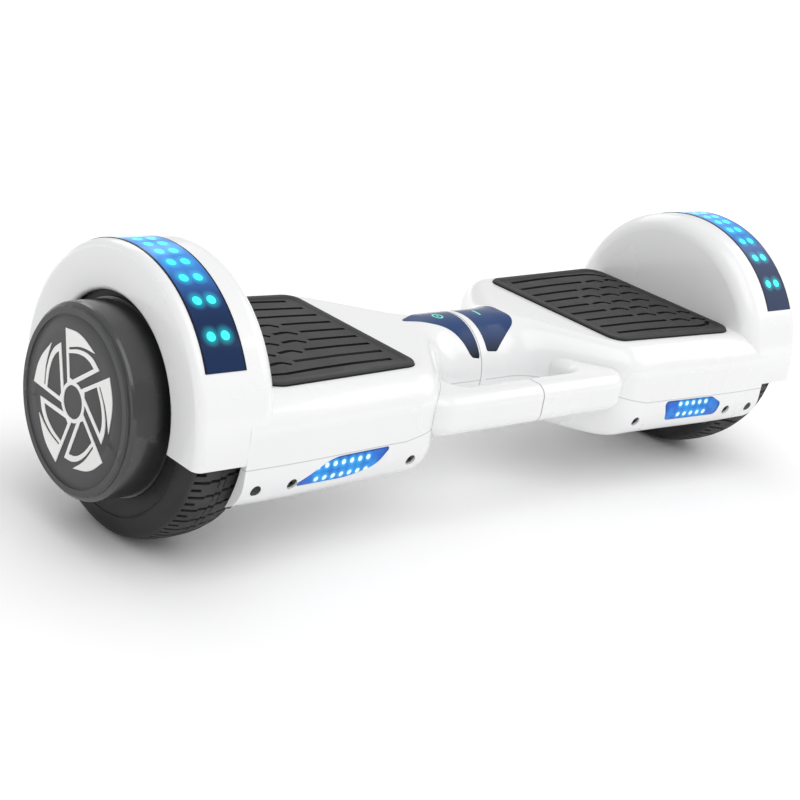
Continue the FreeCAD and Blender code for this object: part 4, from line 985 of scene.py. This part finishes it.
class BOARD_OT_discs(bpy.types.Operator):
    """Model both hub discs and the raised swirl on each"""
    bl_idname = "board.discs"
    bl_label = "Hub discs"

    def execute(self, context):
        settings = context.scene.board_disc
        charcoal = grained("hub_disc_charcoal", (0.052, 0.053, 0.055, 1.0), (0.040, 0.040, 0.042, 1.0),
                           (0.42, 0.55), 1500.0, 0.05 * MM)
        white = grained("hub_swirl_white", settings.colour[:], (0.80, 0.80, 0.79, 1.0),
                        (0.32, 0.42), 1200.0, 0.02 * MM)
        right = make_disc()
        right.data.materials.append(charcoal)
        left = mirrored_copy(right, "left_hub_disc_face")
        smooth(left, 30.0)
        swirl = make_swirl(settings)
        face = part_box("left_hub_disc")[0].x + 0.5 * MM
        stand = Matrix(((0, 0, -1, face - settings.height / 2 + 0.02 * MM), (-1, 0, 0, 0),
                        (0, 1, 0, AXLE_Z), (0, 0, 0, 1)))
        swirl.data.transform(stand)
        swirl.data.materials.append(white)
        twin = mirrored_copy(swirl, "right_hub_swirl")
        smooth(swirl, 30.0)
        smooth(twin, 30.0)
        seat(right, "right_wheel", "hub_disc", "right_hub_disc")
        seat(left, "left_wheel", "hub_disc", "left_hub_disc")
        seat(swirl, "left_wheel", "hub_disc")
        seat(twin, "right_wheel", "hub_disc")
        return {"FINISHED"}


# ---- trim and inner parts --------------------------------------------
def turned_metal(name, light, dark, rough):
    """Metal with fine rings about the wheel's axis, as a lathe leaves them."""
    made, g, shader = material(name, Metallic=1.0)
    along = g.math("ADD", g.axle_distance(), g.object_axes()[1])
    rings = g.math("SINE", g.math("MULTIPLY", along, 9000.0))
    grain = place_group(g, "grain", grain_scale=700.0)
    g.feed(shader["Base Color"], g.mix(grain["Drift"], dark, light))
    g.feed(shader["Roughness"], g.fade(rings, -1.0, 1.0, rough[0], rough[1]))
    bump(g, shader, rings, 0.01 * MM, 0.4)
    return made


def motor_cover_finish():
    """Gloss black coat over a turned cup, with faint rings and a soft orange peel."""
    made, g, shader = material("motor_cover_black", Coat_Weight=0.7, Coat_Roughness=0.12)
    grain = place_group(g, "grain", grain_scale=520.0)
    rings = g.math("SINE", g.math("MULTIPLY", g.object_axes()[1], 6000.0))
    g.feed(shader["Base Color"], g.mix(grain["Drift"], (0.014, 0.014, 0.015, 1.0),
                                       (0.024, 0.024, 0.025, 1.0)))
    g.feed(shader["Roughness"], g.fade(grain["Drift"], 0.0, 1.0, 0.26, 0.36))
    height = g.math("ADD", g.math("MULTIPLY", rings, 0.15), grain["Height"])
    bump(g, shader, height, 0.02 * MM, 0.4)
    return made


def board_finish():
    """Green solder mask with lighter tracks."""
    made, g, shader = material("circuit_board_green")
    vector = g.object_axes()[0]
    cells = g.add("TexBrick", {"Vector": vector, "Scale": 90.0, "Mortar Size": 0.06}).outputs[1]
    grain = place_group(g, "grain", grain_scale=600.0)
    base = g.mix(grain["Drift"], (0.010, 0.085, 0.035, 1.0), (0.016, 0.12, 0.05, 1.0))
    g.feed(shader["Base Color"], g.mix(g.math("MULTIPLY", cells, 0.5), base, (0.10, 0.26, 0.12, 1.0)))
    g.feed(shader["Roughness"], g.fade(cells, 0.0, 1.0, 0.3, 0.45))
    return made


class BOARD_OT_fittings(bpy.types.Operator):
    """Give the trim, the motors and everything inside their finishes"""
    bl_idname = "board.fittings"
    bl_label = "Trim and inner parts"

    def execute(self, context):
        paint(grained("liner_textured", (0.045, 0.045, 0.048, 1.0), (0.026, 0.026, 0.028, 1.0),
                      (0.5, 0.7), 480.0, 0.15 * MM, 0.1), *both("arch_liner"))
        paint(grained("button_satin", (0.030, 0.030, 0.033, 1.0), (0.020, 0.020, 0.022, 1.0),
                      (0.28, 0.4), 900.0, 0.03 * MM), "power_button", "charge_socket")
        paint(grained("cap_soft_rubber", (0.040, 0.040, 0.043, 1.0), (0.026, 0.026, 0.028, 1.0),
                      (0.6, 0.75), 800.0, 0.08 * MM, 0.1), "socket_cap")
        paint(grained("screw_black_oxide", (0.060, 0.058, 0.056, 1.0), (0.030, 0.030, 0.030, 1.0),
                      (0.3, 0.5), 1500.0, 0.02 * MM, Metallic=0.9), *both("shell_screws"))
        paint(grained("cast_frame", (0.56, 0.57, 0.59, 1.0), (0.44, 0.45, 0.47, 1.0),
                      (0.4, 0.6), 350.0, 0.12 * MM, Metallic=0.9),
              *both("chassis"), *both("axle_clamp"))
        paint(grained("battery_sleeve", (0.02, 0.10, 0.34, 1.0), (0.012, 0.07, 0.26, 1.0),
                      (0.25, 0.4), 120.0, 0.3 * MM), "battery")
        paint(grained("wire_sleeve", (0.030, 0.030, 0.032, 1.0), (0.018, 0.018, 0.020, 1.0),
                      (0.45, 0.6), 700.0, 0.1 * MM), *both("wiring"))
        paint(grained("sintered_bronze", (0.52, 0.36, 0.18, 1.0), (0.40, 0.27, 0.13, 1.0),
                      (0.35, 0.55), 900.0, 0.05 * MM, Metallic=1.0), "pivot_bushes")
        paint(turned_metal("turned_steel", (0.58, 0.58, 0.60, 1.0), (0.46, 0.46, 0.48, 1.0), (0.22, 0.38)),
              *both("axle"), *both("clamp_bolts"), *both("wheel_bearings"),
              "pivot_tube", "retaining_ring", "limit_pin")
        paint(turned_metal("laminated_core", (0.36, 0.34, 0.33, 1.0), (0.24, 0.23, 0.22, 1.0), (0.4, 0.6)),
              *both("stator"), *both("rotor_rim"))
        paint(motor_cover_finish(), *both("motor_cover_outer"), *both("motor_cover_inner"))
        paint(board_finish(), *both("gyro_board"), "main_board")
        return {"FINISHED"}


# ---- stage -----------------------------------------------------------
VIEW = Vector((0.6863, 0.6538, -0.3186))
CAMERA_PLACE = Vector((-0.8069, -0.7747, 0.4477))
CAMERA_ROLL = math.radians(11.18)
CAMERA_SHIFT = (-0.0656, -0.0302)


def camera(settings):
    data = bpy.data.cameras.new("camera")
    data.lens = settings.lens
    data.sensor_width = 36.0
    data.shift_x, data.shift_y = CAMERA_SHIFT
    data.clip_end = 50.0
    view = VIEW.normalized()
    level = view.cross(Vector((0, 0, 1))).normalized()
    upright = level.cross(view)
    right = level * math.cos(CAMERA_ROLL) + upright * math.sin(CAMERA_ROLL)
    up = upright * math.cos(CAMERA_ROLL) - level * math.sin(CAMERA_ROLL)
    turn = Matrix((right, up, -view)).transposed().to_4x4()
    item = bpy.data.objects.new("camera", data)
    item.matrix_world = Matrix.Translation(CAMERA_PLACE) @ turn
    link(item)
    bpy.context.scene.camera = item


def soft_light(name, power, size, place, target=Vector((0, 0, 0.05))):
    data = bpy.data.lights.new(name, "AREA")
    data.energy = power
    data.shape = "RECTANGLE"
    data.size, data.size_y = size
    item = bpy.data.objects.new(name, data)
    item.location = place
    item.rotation_euler = (target - Vector(place)).to_track_quat("-Z", "Y").to_euler()
    link(item)


def backdrop():
    """White all around, dimmer as light than as it looks."""
    world = bpy.data.worlds.new("white_room")
    world.use_nodes = True
    bpy.context.scene.world = world
    g = Graph(world.node_tree)
    seen = g.add("LightPath").outputs["Is Camera Ray"]
    background = world.node_tree.nodes["Background"]
    background.inputs[0].default_value = (1.0, 1.0, 1.0, 1.0)
    g.feed(background.inputs[1], g.add("MapRange", {0: seen, 3: 0.72, 4: 1.05}).outputs[0])


class BOARD_OT_stage(bpy.types.Operator):
    """Set the floor, the soft lights and the camera"""
    bl_idname = "board.stage"
    bl_label = "Stage"

    def execute(self, context):
        settings = context.scene.board_stage
        bpy.ops.object.select_all(action="DESELECT")
        bpy.ops.mesh.primitive_plane_add(size=settings.floor, location=(0, 0, 0))
        floor = new_piece("floor")
        made, g, shader = material("floor_white", Roughness=0.55, Specular_IOR_Level=0.25,
                                   Emission_Strength=0.5)
        vector, x, y, _ = g.object_axes()
        tone = g.noise(vector, 3.0, 2.0)
        g.feed(shader["Base Color"], g.mix(tone, (0.955, 0.955, 0.955, 1.0), (0.975, 0.975, 0.975, 1.0)))
        far = g.fade(g.distance(x, y), 0.35, 1.8)
        g.feed(shader["Emission Color"], g.mix(far, BLACK, (1.0, 1.0, 1.0, 1.0)))
        floor.data.materials.append(made)
        soft_light("key", settings.key, (2.4, 2.4), (-0.5, -1.3, 2.3))
        soft_light("fill", settings.key * 0.45, (2.0, 1.4), (2.0, -0.6, 1.4))
        soft_light("rim", settings.key * 0.35, (2.4, 1.0), (0.3, 2.2, 1.6))
        backdrop()
        camera(settings)
        context.scene.view_settings.view_transform = "Standard"
        return {"FINISHED"}


# ---- panel -----------------------------------------------------------
OPERATORS = (BOARD_OT_shells, BOARD_OT_lights, BOARD_OT_tyres, BOARD_OT_mats, BOARD_OT_discs,
             BOARD_OT_fittings, BOARD_OT_stage)


class BOARD_PT_panel(bpy.types.Panel):
    """Pieces and sizes of the balance board"""
    bl_idname = "BOARD_PT_panel"
    bl_label = "Balance board"
    bl_space_type = "VIEW_3D"
    bl_region_type = "UI"
    bl_category = "Balance board"

    def draw(self, context):
        for operator in OPERATORS:
            self.layout.operator(operator.bl_idname)
        for name, kind in SETTINGS.items():
            part = self.layout.box()
            for field in kind.__annotations__:
                part.prop(getattr(context.scene, name), field)


CLASSES = (*SETTINGS.values(), *OPERATORS, BOARD_PT_panel)


def register():
    for item in CLASSES:
        bpy.utils.register_class(item)
    for name, kind in SETTINGS.items():
        setattr(bpy.types.Scene, name, bpy.props.PointerProperty(type=kind))


def unregister():
    for name in SETTINGS:
        delattr(bpy.types.Scene, name)
    for item in reversed(CLASSES):
        bpy.utils.unregister_class(item)


def main():
    register()
    bpy.ops.board.shells()
    bpy.ops.board.lights()
    bpy.ops.board.tyres()
    bpy.ops.board.mats()
    bpy.ops.board.discs()
    bpy.ops.board.fittings()
    bpy.ops.board.stage()


if __name__ == "__main__":
    main()
